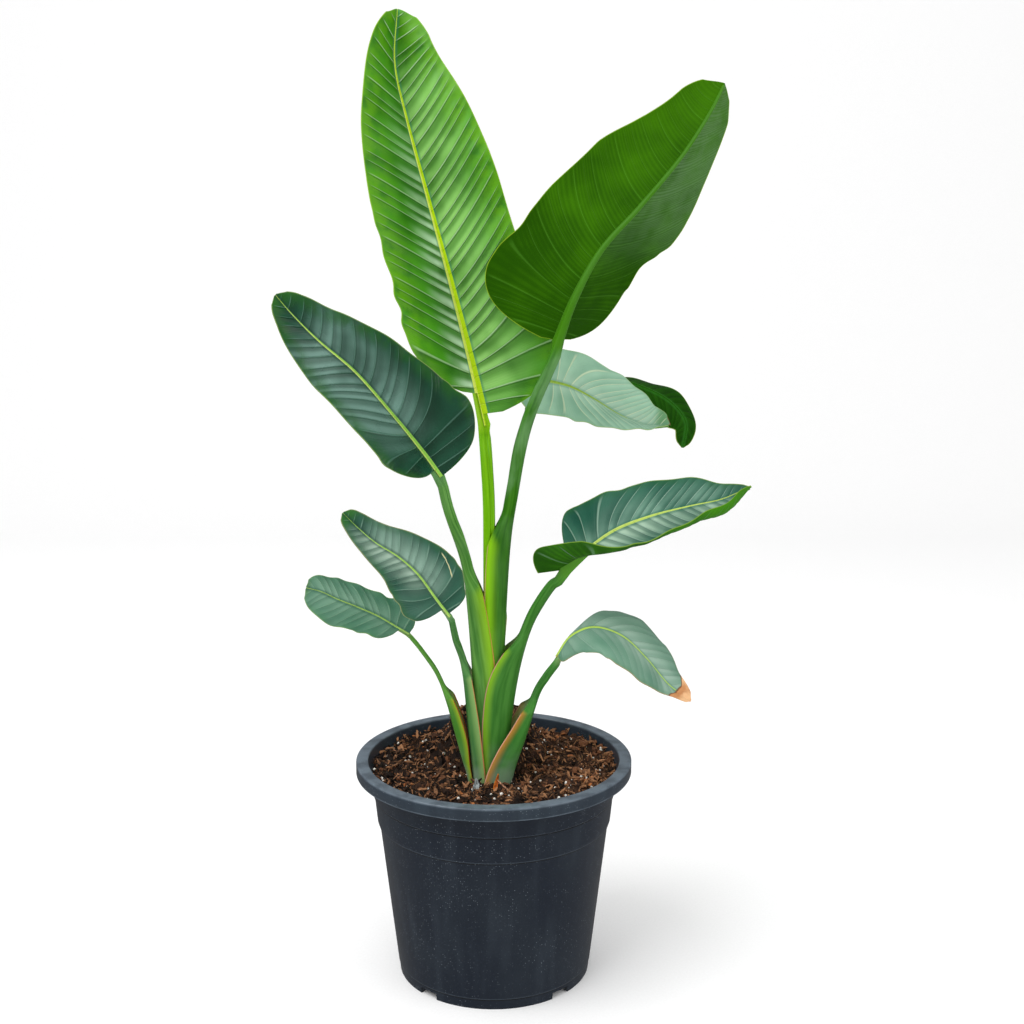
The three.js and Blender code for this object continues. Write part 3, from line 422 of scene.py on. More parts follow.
def half_width(leaf, b, half):
    """Half width in mm at share b of the length, rounded off at base and tip."""
    from_base = clamp((b - leaf["start"][half]) / leaf["base"])
    to_tip = clamp((b - 1 + leaf["tip"]) / leaf["tip"])
    rounding = np.sqrt(1 - (1 - from_base) ** 2) * np.sqrt(1 - to_tip ** 2)
    widths = leaf.get("half_right", leaf["half"]) if half else leaf["half"]
    return np.maximum(along(widths, b) * rounding, BLADE_LEAST)


def slope_at(leaf, b, half, v):
    """Slope in radians of a half at share v of its breadth."""
    chord = along(leaf["right"] if half else leaf["left"], b)
    return np.radians(chord + along(leaf["curl"][half], b) * (v * v - 1 / 3))


def across_half(leaf, b, half, v):
    """Distances outward and up from the rib, as shares of the half width, of a half that curls.
    v rises from 0 to 1."""
    middles = (v[1:] + v[:-1]) / 2
    slope = slope_at(leaf, b[:, None], half, middles[None])
    steps = np.diff(v)[None]
    start = np.zeros((len(b), 1))
    return (np.hstack([start, np.cumsum(np.cos(slope) * steps, axis=1)]),
            np.hstack([start, np.cumsum(np.sin(slope) * steps, axis=1)]))


def lengthwise(rows):
    """Shares of a blade's length, closer together at both ends."""
    t = np.linspace(0, 1, rows + 1)
    return t - 0.5 * np.sin(2 * np.pi * t) / (2 * np.pi)


def blade_sheet(leaf, look, b, share, rib_share, relief=1.0):
    """Middle surface of a blade at shares b along it and the given shares across each half, with
    what the material needs to know about each point. `relief` is the share of the pleats."""
    rib = Course(leaf["rib"])
    (left_out, left_rise), (right_out, right_rise) = (
        across_half(leaf, b, half, share) for half in (0, 1))
    out = np.hstack([-left_out[:, ::-1], right_out[:, 1:]])
    bend = np.hstack([left_rise[:, ::-1], right_rise[:, 1:]])
    b, v = np.meshgrid(b, np.concatenate([-share[::-1], share[1:]]), indexing="ij")
    far = np.abs(v)
    at = rib.at(b)
    tangent, right, up = axes(rib.tangent(b), np.array(leaf["side"], float))
    half = by_half(v, (0, 1))
    full = by_half(v, (half_width(leaf, b, 0), half_width(leaf, b, 1)))
    # Fine waves of the margin, at uneven steps.
    height, step, end = (by_half(v, pair) for pair in zip(*look["frill"]))
    turns = 2 * np.pi * b * rib.length / step
    full = full + (height * np.sin(turns + 0.8 * np.sin(0.37 * turns)) * clamp(full / 20)
                   * smoothstep(b, 0, 0.04) * (1 - smoothstep(b, 0.6 * end, end)))
    width = full * far
    lobe = by_half(v, leaf["lobe"])
    hang = lobe * clamp(1 - b / LOBE_END) ** 2 * clamp(full / 14) * far ** 1.5
    lean = leaf["sweep"] * np.sqrt(far) * np.minimum(1, np.minimum(8 * b, 30 * (1 - b)))

    # The veins leave the rib at uneven steps and lean toward the tip.
    slant, bow = (by_half(v, look[key]) for key in ("slant", "bow"))
    settled = clamp(1.7 * full.max(axis=0) * (slant + bow)[0] / rib.length, 0.2, 0.95)
    turned = smoothstep(b, 0, settled) * (slant + bow * far) - lean
    phase = (b * rib.length - width * turned) / look["spacing"] + 0.35 * half
    phase += 0.14 * np.sin(2.39 * phase + 1.3 * half)
    ends = np.minimum(1, np.minimum(8 * b, 8 * (1 - b)))
    ridge = np.sqrt(np.sin(np.pi * phase) ** 2 + 0.03) - 0.17
    reach = smoothstep(width, 3, 12) * smoothstep(full - width, 1, 10)
    pleat = -look["pleat"] * 1.5 * (ridge - 0.45) * reach
    swell = 0.2 * look["pleat"] * np.sin(phase * 2.1 + 2 * half) * np.sin(np.pi * far)
    margin = leaf["wave"] * far ** 3 * np.sin(2.2 * np.pi * b * (4 + half) + 2 * half + 7)

    rib_half = look["rib_width"] * lerp(leaf["thick"][-1] * 0.86, 0.7, b)
    raised = RIB_RISE * rib_share * clamp(1 - (width / rib_half) ** 2)
    rise = full * bend + ends * (relief * (pleat + swell) + margin) + raised
    place = (at + right * (full * out)[..., None] + up * rise[..., None]
             + tangent * (width * lean - hang)[..., None])
    facts = dict(from_rib=width, to_edge=full - width, rib=rib_half - width, share=b)
    return place, facts, np.stack([phase, v], -1)


def sheet_normals(place):
    """Unit normals of a sheet, out of its upper face."""
    return unit(np.cross(np.gradient(place, axis=1), np.gradient(place, axis=0)))


# Stalk sections.


def joint_axes(leaf):
    """Axes of the blade's base where the petiole meets it: along, right and up."""
    tangent, right, up = axes(Course(leaf["rib"]).tangent(0.0), np.array(leaf["side"], float))
    tilt = float(slope_at(leaf, 0, 1, 0) - slope_at(leaf, 0, 0, 0)) / 2
    return (tangent, right * math.cos(tilt) + up * math.sin(tilt),
            up * math.cos(tilt) - right * math.sin(tilt))


def round_section(r):
    """Half outlines, outside and inside, of a petiole with a shallow groove; r is its radius."""
    outer = [(0.87 * r, 0.5 * r), (0, r), (-0.72 * r, 0.7 * r), (-r, 0)]
    inner = [(0.84 * r, 0.3 * r), (0.72 * r, 0.18 * r), (0.66 * r, 0)]
    return np.array(outer), np.array(inner)


def sheath_section(thick, middle, reach, inner, outer, tuck):
    """Half outlines, outside and inside, of a sheath that opens round the ones inside it."""
    wide = max(min(middle, 0.8 * reach), thick)
    back = [(reach, outer * tuck), (wide, outer),
            (wide - SECTION_BEND * (wide + thick), SECTION_BEND * outer), (-thick, 0)]
    hollow = [(wide, inner),
              (wide - SECTION_BEND * (wide - thick), SECTION_BEND * inner), (thick, 0)]
    return np.array(back, float), np.array(hollow, float)


def mirrored(list_of_points):
    return [(x, -y) for x, y in list_of_points]


def smooth_outline(outer, inner):
    """The closed outline of a section, smooth outside and inside, sharp at both margins."""
    outer, inner = [tuple(p) for p in outer], [tuple(p) for p in inner]
    back = outer + mirrored(outer[:-1][::-1])
    hollow = [back[-1]] + mirrored(inner) + inner[:-1][::-1] + [back[0]]
    return np.vstack([through(back, SPAN_STEPS), through(hollow, 2)[1:-1]])


def margin_distance(outline):
    """Distance in mm of each point of an outline from the nearer margin, along the outline."""
    def one_way(line):
        steps = np.linalg.norm(np.diff(line, axis=0), axis=1)
        far = np.concatenate([[0], np.cumsum(steps)])
        return np.minimum(far, far[-1] - far)

    back = one_way(outline[:OUTSIDE_POINTS])
    hollow = one_way(np.vstack([outline[OUTSIDE_POINTS - 1:], outline[:1]]))
    return np.concatenate([back, hollow[1:-1]])


def stalk_rings(leaf):
    """Rings of the sheath and petiole, with each point's distance from the sheath margin and how
    far it lies in the sheath's hollow."""
    joint_along, joint_right, joint_up = joint_axes(leaf)
    sheath, petiole_end = leaf["sheath"], leaf["thick"][-1]
    end = (Course(leaf["rib"]).at(0.0) - joint_up * (BLADE_HALF + 2 * GAP + 0.87 * petiole_end)
           - joint_along * 2 * petiole_end)
    course = Course([*leaf["stalk"], tuple(end)])
    fine = np.linspace(0, 1, 401)
    mouth = fine[np.nonzero(course.at(fine)[:, 2] >= sheath["top"])[0][0]]
    opens, down_axis = np.array([*leaf["opens"], 0.0]), np.array([0.0, 0.0, -1.0])
    lying = np.cross(-down_axis, opens)
    shoot = np.array([*leaf["shoot"], 0.0])
    # The rings stand closer together just below the mouth.
    below = [*np.linspace(0, 0.86, 34)[:-1], *np.linspace(0.86, 1, 16)]
    shares = [s * mouth for s in below] + [lerp(mouth, 1, s) for s in np.linspace(0, 1, 22)[1:]]
    rings, margins, hollows = [], [], []
    for t in shares:
        at = course.at(t)
        turn = float(smoothstep(t, mouth, lerp(mouth, 1, 0.6)))
        _, turned_right, turned_up = axes(course.tangent(t), unit(lerp(lying, joint_right, turn)))
        right = unit(lerp(np.cross(opens, down_axis), turned_right, turn))
        up = unit(lerp(opens, turned_up, turn))
        down = (sheath["top"] - at[2]) / (sheath["top"] - STALK_FOOT)
        thick = float(along(leaf["thick"], t))
        spread = SHEATH_SPREAD * (at[2] - STALK_FOOT)
        middle = float(opens @ shoot - opens @ at)
        reach = float(along(sheath["reach"], down))
        open_section = sheath_section(thick, middle, reach, sheath["inner"] + spread,
                                      sheath["outer"] + spread, sheath.get("tuck", 0.8))
        opening = 0.0 if leaf.get("core") else float(smoothstep(down, 0, MOUTH_FADE))
        outer, inner = (lerp(a, b, opening) for a, b in zip(round_section(thick), open_section))
        outline = smooth_outline(outer, inner)
        far = margin_distance(outline)
        rings.append(at + outline[:, :1] * up + outline[:, 1:] * right)
        margins.append(np.where(opening > 0, far + 30 * (1 - opening), FAR_OFF))
        hollow = np.zeros(len(outline))
        hollow[OUTSIDE_POINTS:] = opening
        hollows.append(hollow)
    return rings, margins, hollows


def around_and_along(rings):
    """Where each point of a tube lies round it and along it, in mm."""
    rings = np.array(rings)
    steps = np.linalg.norm(np.roll(rings, -1, axis=1) - rings, axis=2)
    girth = steps.sum(axis=1, keepdims=True)
    angle = 2 * np.pi * (np.cumsum(steps, axis=1) - steps) / girth
    radius = np.median(girth) / (2 * np.pi)
    middles = rings.mean(axis=1)
    far = np.concatenate([[0], np.cumsum(np.linalg.norm(np.diff(middles, axis=0), axis=1))])
    return dict(round_x=radius * np.cos(angle), round_y=radius * np.sin(angle),
                along=np.repeat(far, rings.shape[1]))


def midrib_rings(leaf):
    """Rings of the keel that the petiole draws along the blade's underside."""
    rib = Course(leaf["rib"])
    base = leaf["thick"][-1] * 0.95
    rings = []
    for b in 1 - (1 - np.linspace(0, 0.985, 70)) ** 1.1:
        at = rib.at(b)
        tangent, right, up = axes(rib.tangent(b), np.array(leaf["side"], float))
        slopes = []
        for half, sign in ((0, -1), (1, 1)):
            rise = float(slope_at(leaf, b, half, 0.06))
            out = right * (sign * math.cos(rise)) + up * math.sin(rise)
            slopes.append((out, up * math.cos(rise) - right * (sign * math.sin(rise))))
        left, right = slopes
        normal = unit(left[1] + right[1])
        across = np.cross(tangent, normal)
        apex = BLADE_HALF / max(float(normal @ right[1]), 0.5)
        half = lerp(base, MIDRIB_TIP, math.sqrt(b))
        deep = half * 1.5 + 0.4

        def hug(side, share):
            out, normal_there = side
            return at + out * (share * half) - normal_there * BLADE_HALF

        def under(x, y):
            return at + across * (y * half) - normal * (apex + x * deep)

        back = [hug(right, 1), under(0.45, 0.9), under(0.85, 0.6), under(1, 0),
                under(0.85, -0.6), under(0.45, -0.9), hug(left, 1)]
        top = [back[-1], hug(left, 0.7), hug(left, 0.35), under(0, 0), hug(right, 0.35),
               hug(right, 0.7), back[0]]
        rings.append(np.vstack([through(back, SPAN_STEPS), through(top, 2)[1:-1]]))
    return rings


# Meshes.


def new_piece(name, points, faces, material, uv=None, facts=None, sharp=40):
    """Makes one object from points in mm, with its per-point facts as named attributes."""
    mesh = bpy.data.meshes.new(name)
    mesh.from_pydata((np.asarray(points) * MM).tolist(), [], faces)
    mesh.update()
    for key, values in (facts or {}).items():
        mesh.attributes.new(key, "FLOAT", "POINT").data.foreach_set("value", np.ravel(values))
    if uv is not None:
        corners = np.empty(len(mesh.loops), dtype=np.int64)
        mesh.loops.foreach_get("vertex_index", corners)
        layer = mesh.uv_layers.new(name="veins")
        layer.data.foreach_set("uv", np.asarray(uv).reshape(-1, 2)[corners].ravel())
    mesh.shade_smooth()
    mesh.set_sharp_from_angle(angle=math.radians(sharp))
    mesh.materials.append(material)
    piece = bpy.data.objects.new(name, mesh)
    bpy.context.scene.collection.objects.link(piece)
    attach(piece, "root")
    return piece


def plate_faces(rows, columns):
    """Faces of a thin plate whose upper points come first and lower points second."""
    i, j = np.meshgrid(np.arange(rows - 1), np.arange(columns - 1), indexing="ij")
    a, below = i * columns + j, rows * columns
    upper = np.stack([a, a + 1, a + columns + 1, a + columns], -1).reshape(-1, 4)
    lower = upper[:, ::-1] + below
    last = (rows - 1) * columns
    rim = [*range(columns), *range(2 * columns - 1, rows * columns, columns),
           *range(last + columns - 2, last - 1, -1), *range(last - columns, 0, -columns)]
    sides = [[q, p, p + below, q + below] for p, q in zip(rim, rim[1:] + rim[:1])]
    return upper.tolist() + lower.tolist() + sides


def tube_faces(rings, around):
    """Faces of a closed tube of equal rings."""
    faces = []
    for i in range(rings - 1):
        for j in range(around):
            a, b = i * around + j, i * around + (j + 1) % around
            faces.append([a, b, b + around, a + around])
    faces.append(list(range(around))[::-1])
    faces.append([(rings - 1) * around + j for j in range(around)])
    return faces


def turned(profile, around, height_at=None):
    """Points and faces of a profile turned about the pot's axis; a radius of 0 is one point."""
    angles = np.linspace(0, 2 * math.pi, around + 1)[:-1]
    points, rows, faces = [], [], []
    for r, z in profile:
        rows.append([len(points) + (j if r else 0) for j in range(around)])
        for a in angles if r else [0.0]:
            x, y = r * math.cos(a), r * math.sin(a)
            points.append((x, y, height_at(x, y) if z is None else z))
    for low, high in zip(rows, rows[1:]):
        for j in range(around):
            k = (j + 1) % around
            corners = [low[j], low[k], high[k], high[j]]
            faces.append([c for n, c in enumerate(corners) if c != corners[n - 1]])
    return points, faces


# Materials.

SMOOTH = {"interpolation_type": "SMOOTHSTEP"}
TONES = {"data_type": "RGBA"}
SUM, LESS, PRODUCT, SINE, FRACTION, SIZE = (
    {"operation": name} for name in ("ADD", "SUBTRACT", "MULTIPLY", "SINE", "FRACT", "ABSOLUTE"))
WAX_IOR = 1.42
MOULD_STEPS = (0.0108, 0.1618, 0.1893)  # heights in m


def add_node(tree, kind, *values, out=None, named=None, **settings):
    """Adds one shader node with its settings. Its inputs take the values in order, or by name;
    a socket among them is linked. A sum or product of more values takes more nodes. Returns the
    output asked for, or else the first one."""
    if kind == "Math" and len(values) > 2:
        values = (add_node(tree, kind, *values[:-1], **settings), values[-1])
    node = tree.nodes.new("ShaderNode" + kind)
    for key, value in settings.items():
        setattr(node, key, value)
    shown = [socket for socket in node.inputs if socket.enabled]
    wanted = [(node.inputs[key], value) for key, value in (named or {}).items()]
    for socket, value in [*zip(shown, values), *wanted]:
        if isinstance(value, bpy.types.NodeSocket):
            tree.links.new(value, socket)
        else:
            socket.default_value = value
    if out:
        return node.outputs[out]
    return next((socket for socket in node.outputs if socket.enabled), None)


def new_material(name):
    """An empty node material, and the function that adds a node to it."""
    material = bpy.data.materials.new(name)
    material.use_nodes = True
    material.node_tree.nodes.clear()
    return material, partial(add_node, material.node_tree)


def noise_at(add, size, detail=3.0, stretch=(1, 1, 1), seed=0.0):
    """Noise on the object's own place, in patches of about `size` mm."""
    moved = add("Mapping", add("TexCoord", out="Object"),
                named={"Location": (seed, seed * 0.7, 0), "Scale": stretch})
    return add("TexNoise", moved, 1 / (size * MM), detail)


def strands(add, size, length, seed=0.0):
    """Noise drawn out along a stalk, in strands of about `size` by `length` mm."""
    x, y, far = (add("Attribute", attribute_name=key, out="Fac")
                 for key in ("round_x", "round_y", "along"))
    place = add("CombineXYZ", x, y, add("Math", far, size / length, **PRODUCT))
    moved = add("Mapping", place, named={"Location": (seed, seed * 0.7, 0)})
    return add("TexNoise", moved, 1 / size, 3.0)


def waxy_leaf(name, look, seed, scarred, papery):
    """Living lamina: wax-coated upper face with sunken side veins and a duller underside. It gives
    the eye long parallel veins, each with a painted highlight on the slope above and a painted
    shadow in the groove below, a broad soft painted sheen beside the rib, a painted shade along
    the rib's sides, a rib painted with a lit and a shaded slope, and a thin pale margin."""
    material, add = new_material(name)
    phase = add("SeparateXYZ", add("UVMap", uv_map="veins"), out="X")
    across = phase.node.outputs["Y"]
    from_rib, to_edge, rib, upper, share = (
        add("Attribute", attribute_name=key, out="Fac")
        for key in ("from_rib", "to_edge", "rib", "upper", "share"))
    right = add("MapRange", across, -0.01, 0.01, **SMOOTH)
    wander = noise_at(add, 16.67, seed=seed)
    mottle = noise_at(add, 38.46, detail=2, seed=seed + 3)

    # Distance in mm from the nearest vein, positive toward the tip.
    cycle = add("Math", add("Math", phase, 0.5, **SUM), **FRACTION)
    beyond = add("Math", add("Math", cycle, 0.5, **LESS), look["spacing"], **PRODUCT)
    inland = add("MapRange", to_edge, 0.5, 9, **SMOOTH)
    near = add("MapRange", add("Math", beyond, **SIZE), 0.15, 0.7, 1, 0, **SMOOTH)
    vein = add("Math", near, inland, **PRODUCT)
    # A painted shadow in the groove just below each vein; the bump dents the same groove.
    groove = add("Math", add("MapRange", beyond, -2.0, -0.9, **SMOOTH),
                 add("MapRange", beyond, -0.7, -0.2, 1, 0, **SMOOTH), inland, **PRODUCT)
    # A painted highlight on the slope just above each vein, fading toward the next vein.
    interval = add("Math", phase, **FRACTION)
    slope = add("Math", add("MapRange", interval, 0.0, 0.1, **SMOOTH),
                add("MapRange", interval, 0.15, 0.8, 1, 0, **SMOOTH), **PRODUCT)
    # Fine lines and broader streaks beside the veins, as many as these to each vein.
    fine, streak = (add("Math", add("Math", phase, 2 * math.pi * lines, **PRODUCT), **SINE)
                    for lines in (9, 3.37))

    # The upper face, from the ground tone up.
    dark, light = (linear(c) for c in look["upper"])
    patchy = add("MapRange", mottle, 0.3, 0.7, **SMOOTH)
    # The light tone shows in mottle and in the painted highlight above each vein.
    pleat_highlight_and_mottle = add("Math", add("Math", slope, 0.45, **PRODUCT),
                add("Math", patchy, 0.55, **PRODUCT), **SUM)
    layers = []
    halves = (add("Math", 1.0, right, **LESS), right)
    # On each half a painted sheen beside the rib, brightest on the slope above each vein.
    for sheen, flat, lit, here in zip(look["sheen"], look["flat"], look["lit"], halves):
        tone, full, reach = sheen
        painted_sheen = add("Math", add("MapRange", from_rib, 3, reach, 1, 0, **SMOOTH), here, full,
                    add("MapRange", slope, 0, 1, flat, 1, **SMOOTH),
                    add("MapRange", mottle, 0.25, 0.6, 0.4, 1, **SMOOTH),
                    add("MapRange", share, *lit[:2], **SMOOTH),
                    add("MapRange", share, *lit[2:], 1, 0, **SMOOTH), **PRODUCT)
        layers.append((painted_sheen, linear(tone)))
    tone, full, breadth = look["rim"]
    outer = add("Math", add("MapRange", to_edge, 1, breadth, 1, 0, **SMOOTH),
                add("MapRange", wander, 0.3, 0.6, **SMOOTH), full, **PRODUCT)
    layers.append((outer, linear(tone)))
    if "tip" in look:
        tone, start = look["tip"]
        ending = add("MapRange", share, start, start + 0.08, **SMOOTH)
        layers.append((add("Math", ending, 0.75, **PRODUCT), linear(tone)))
    fading = add("MapRange", from_rib, 5, 60, 1, 0.55, **SMOOTH)
    # A painted shade along both sides of the rib.
    beside = add("MapRange", rib, -3.4, -0.8, **SMOOTH)
    layers += [
        # Painted shadow in the groove below each vein.
        (add("Math", groove, look["groove_depth_and_shade"], **PRODUCT),
         add("Mix", 0.5, dark, linear("#0a2a08"), **TONES)),
        # The pale vein line: partly the vein's own paler tone, partly a painted highlight on its
        # ridge.
        (add("Math", vein, fading, look["vein_share"], **PRODUCT), linear(look["vein"])),
        (add("Math", beside, 0.55, **PRODUCT), linear(look["rib_side_shade"])),
    ]
    top = add("Mix", pleat_highlight_and_mottle, dark, light, **TONES)
    for full, tone in layers:
        top = add("Mix", full, top, tone, **TONES)

    # The underside.
    dark, light = (linear(c) for c in look["under"])
    cloud = add("Math", add("Math", mottle, 0.6, **PRODUCT),
                add("Math", share, 0.4, **PRODUCT), **SUM)
    cloud = add("Math", add("Math", streak, 0.05, **PRODUCT), cloud, **SUM)
    below = add("Mix", add("MapRange", cloud, 0.25, 0.75, **SMOOTH), dark, light, **TONES)
    if "greyed" in look:
        half, tone, full = look["greyed"]
        grey = add("Math", add("MapRange", right, 0, 1, 1 - half, half, **SMOOTH),
                   add("MapRange", streak, -3, 1, **SMOOTH),
                   add("MapRange", wander, 0.25, 0.6, 0.5, 1, **SMOOTH),
                   add("MapRange", share, 0.2, 0.65, **SMOOTH), full, **PRODUCT)
        below = add("Mix", grey, below, linear(tone), **TONES)
    below = add("Mix", add("Math", vein, 0.16, **PRODUCT), below, linear(look["vein"]), **TONES)

    # Rib, its two slopes painted as a lit and a shaded side, then margin, scar and dried tip.
    left_slope, right_slope = (linear(c) for c in look["rib"])
    on_rib = add("Math", add("MapRange", rib, -0.2, 0.3, **SMOOTH), upper, **PRODUCT)
    edge = add("Math", add("MapRange", to_edge, 0.3, 0.85, 1, 0, **SMOOTH), 0.7, **PRODUCT)
    layers = [(on_rib, add("Mix", right, left_slope, right_slope, **TONES)),
              (edge, linear(look["edge"]))]
    if "scar" in look:
        start, end, place = look["scar"]
        course = add("Math", add("Math", share, 1.5, **PRODUCT), place - 1.5 * start, **SUM)
        off = add("Math", across, course, **LESS)
        off = add("Math", add("Math", off, add("Math", wander, 0.12, **PRODUCT), **SUM), **SIZE)
        scar = add("Math", add("MapRange", off, 0.008, 0.022, 1, 0, **SMOOTH),
                   add("MapRange", share, start, start + 0.02, **SMOOTH),
                   add("MapRange", share, end - 0.02, end, 1, 0, **SMOOTH), upper, **PRODUCT)
        layers.append((scar, scarred))
    if "dry" in look:
        start = look["dry"]
        ragged = add("Math", add("Math", wander, 0.5, **LESS), 0.09, **PRODUCT)
        creep = add("Math", add("MapRange", to_edge, 0, 9, 1, 0, **SMOOTH), 0.07, **PRODUCT)
        dried = add("Math", share, ragged, creep, **SUM)
        layers += [
            (add("MapRange", dried, start - 0.012, start + 0.004, **SMOOTH), linear("#6a3a1c")),
            (add("MapRange", dried, start + 0.002, start + 0.012, **SMOOTH),
             add("Mix", add("MapRange", wander, 0.4, 0.6, **SMOOTH), papery, linear("#bf8250"),
                 **TONES)),
        ]
    colour = add("Mix", upper, below, top, **TONES)
    for full, tone in layers:
        colour = add("Mix", full, colour, tone, **TONES)

    relief = add("Math", add("Math", vein, 0.7, **PRODUCT),
                 add("Math", groove, -1.8 * look["groove_depth_and_shade"], **PRODUCT), **SUM)
    texture = add("Math", add("Math", fine, 0.1, **PRODUCT),
                  add("Math", wander, 0.3, **PRODUCT), **SUM)
    bump = add("Bump", named={"Height": add("Math", relief, texture, **SUM),
                              "Distance": 0.0005, "Strength": 0.8})
    rough = add("MapRange", mottle, 0.25, 0.75, look["rough"] - 0.05, look["rough"] + 0.07,
                **SMOOTH)
    rough = add("Math", rough, add("MapRange", upper, 0, 1, 0.28, 0, **SMOOTH), **SUM)
    shader = add("BsdfPrincipled", named={
        "Base Color": colour, "Roughness": rough, "Normal": bump, "IOR": WAX_IOR,
        "Specular IOR Level": look["specular"]})
    add("OutputMaterial", shader)
    return material


def waxy_stalk(name, look, top, seed, wax):
    """Living petiole and sheath: fine lengthwise fibres under a bloom of wax that starts near the
    top of the sheath, yellow-green toward the sheath's margin, dry and coloured at its edge."""
    material, add = new_material(name)
    margin, hollow, keel = (add("Attribute", attribute_name=key, out="Fac")
                            for key in ("margin", "hollow", "keel"))
    height = add("SeparateXYZ", add("TexCoord", out="Object"), out="Z")
    # The fibres stand about 0.5 mm apart. They are drawn 1.7 mm wide, which is what shows.
    fibre = strands(add, 1.667, 55.6, seed)
    patch = strands(add, 14.29, 47.6, seed + 5)
    mouth = top * MM
    bloom = add("Math", add("MapRange", patch, 0.35, 0.65, **SMOOTH), look["bloom"],
                add("MapRange", height, mouth - 0.05, mouth + 0.03, 0.2, 1, **SMOOTH), **PRODUCT)
    # The lowest 50 mm over the ground are greyer.
    ground = SOIL_LEVEL * MM
    low = add("Math", add("MapRange", height, ground, ground + 0.05, 1, 0, **SMOOTH),
              add("MapRange", patch, 0.32, 0.5, **SMOOTH), 0.55, **PRODUCT)
    band_tone, breadth = look["band"]
    band = add("Math", add("MapRange", margin, 1.5, breadth, 1, 0, **SMOOTH), 0.88, **PRODUCT)
    ragged = add("Math", margin, add("Math", patch, 0.8, **PRODUCT), **SUM)
    dark, light = (linear(c) for c in look["stalk"])
    colour = add("Mix", add("MapRange", fibre, 0.3, 0.7, **SMOOTH), dark, light, **TONES)
    colour = add("Mix", bloom, colour, wax, **TONES)
    for full, tone in (
        (low, "#8f9c90"), (band, band_tone), (add("Math", hollow, 0.5, **PRODUCT), "#9fae7a"),
        (add("MapRange", ragged, 0.9, 2.0, 1, 0, **SMOOTH), look["dry_edge"]),
        (add("Math", keel, 0.9, **PRODUCT), look["keel"]),
    ):
        colour = add("Mix", full, colour, linear(tone), **TONES)
    bump = add("Bump", named={"Height": fibre, "Distance": 0.0003, "Strength": 0.5})
    rough = add("MapRange", patch, 0.3, 0.7, 0.36, 0.48, **SMOOTH)
    shader = add("BsdfPrincipled", named={
        "Base Color": colour, "Roughness": rough, "Normal": bump, "IOR": WAX_IOR,
        "Specular IOR Level": 0.16})
    add("OutputMaterial", shader)
    return material


def moulded_polypropylene(colour):
    """Injection-moulded polypropylene, coloured through and dusty: a satin surface with fine pale
    specks, a rim band painted lighter where it catches light, painted highlights along the rim's
    top and lower edges, and painted highlight and shadow lines where the mould steps."""
    material, add = new_material("moulded_polypropylene")
    place = add("TexCoord", out="Object")
    height = add("SeparateXYZ", place, out="Z")
    cloud = noise_at(add, 71.43, detail=4)
    run = noise_at(add, 16.67, stretch=(1, 1, 0.08), seed=8)
    rim_foot, top = (POT_HEIGHT - RIM_BAND) * MM, POT_HEIGHT * MM
    rim = add("MapRange", height, rim_foot - 0.0004, rim_foot + 0.0002, **SMOOTH)
    lower_edge = add("MapRange", height, rim_foot + 0.0006, rim_foot + 0.0018, 1, 0, **SMOOTH)
    # Painted highlights along the rim's top edge and along the lower edge of its band.
    painted_rim_highlight = add("Math", add("MapRange", height, top - 0.0028, top - 0.0002, **SMOOTH),
               add("Math", rim, lower_edge, 0.6, **PRODUCT), **SUM)
    layers = [
        (add("MapRange", cloud, 0.35, 0.7, **SMOOTH), "#18232f"),
        (add("Math", add("MapRange", run, 0.5, 0.75, **SMOOTH), 0.25, **PRODUCT), "#303a44"),
        # The rim band is painted lighter, standing in for the light it catches.
        (add("Math", rim, add("MapRange", run, 0.3, 0.7, 0.6, 1, **SMOOTH), **PRODUCT), "#28343f"),
        (add("Math", painted_rim_highlight, add("MapRange", run, 0.3, 0.6, 0.45, 1, **SMOOTH), **PRODUCT),
         "#5e6a75"),
    ]
    # At each step a painted highlight lines the edge above and a painted shadow the corner below.
    for step in MOULD_STEPS:
        above = add("Math", add("MapRange", height, step, step + 0.0002, **SMOOTH),
                    add("MapRange", height, step + 0.0006, step + 0.0014, 1, 0, **SMOOTH),
                    0.4, **PRODUCT)
        under = add("Math", add("MapRange", height, step - 0.0016, step - 0.0007, **SMOOTH),
                    add("MapRange", height, step - 0.0003, step, 1, 0, **SMOOTH), 0.9, **PRODUCT)
        layers += [(above, "#4a545e"), (under, "#07090c")]
    # Dust is finer than this. Its specks are drawn about 0.5 mm across, which is what shows, one
    # in each cell of 1.8 mm and a few of them brighter.
    cells = add("TexVoronoi", place, 1 / (1.786 * MM))
    lot = add("SeparateXYZ", cells.node.outputs["Color"], out="X")
    speck = add("Math", add("MapRange", cells, 0.12, 0.26, 1, 0, **SMOOTH),
                add("MapRange", lot, 0.5, 1.0, **SMOOTH),
                add("MapRange", noise_at(add, 45.45, seed=2), 0.34, 0.56, 0.2, 1, **SMOOTH),
                0.65, **PRODUCT)
    layers.append((speck, "#929ca4"))
    for full, tone in layers:
        colour = add("Mix", full, colour, linear(tone), **TONES)
    # The mould's grain is about 0.1 mm. It is drawn 0.7 mm, which still gives the satin.
    grain = noise_at(add, 0.7143, detail=2, seed=4)
    bump = add("Bump", named={"Height": grain, "Distance": 0.0001, "Strength": 0.5})
    rough = add("MapRange", cloud, 0.3, 0.7, 0.36, 0.46, **SMOOTH)
    shader = add("BsdfPrincipled", named={
        "Base Color": colour, "Roughness": rough, "Normal": bump, "IOR": 1.49})
    add("OutputMaterial", shader)
    return material


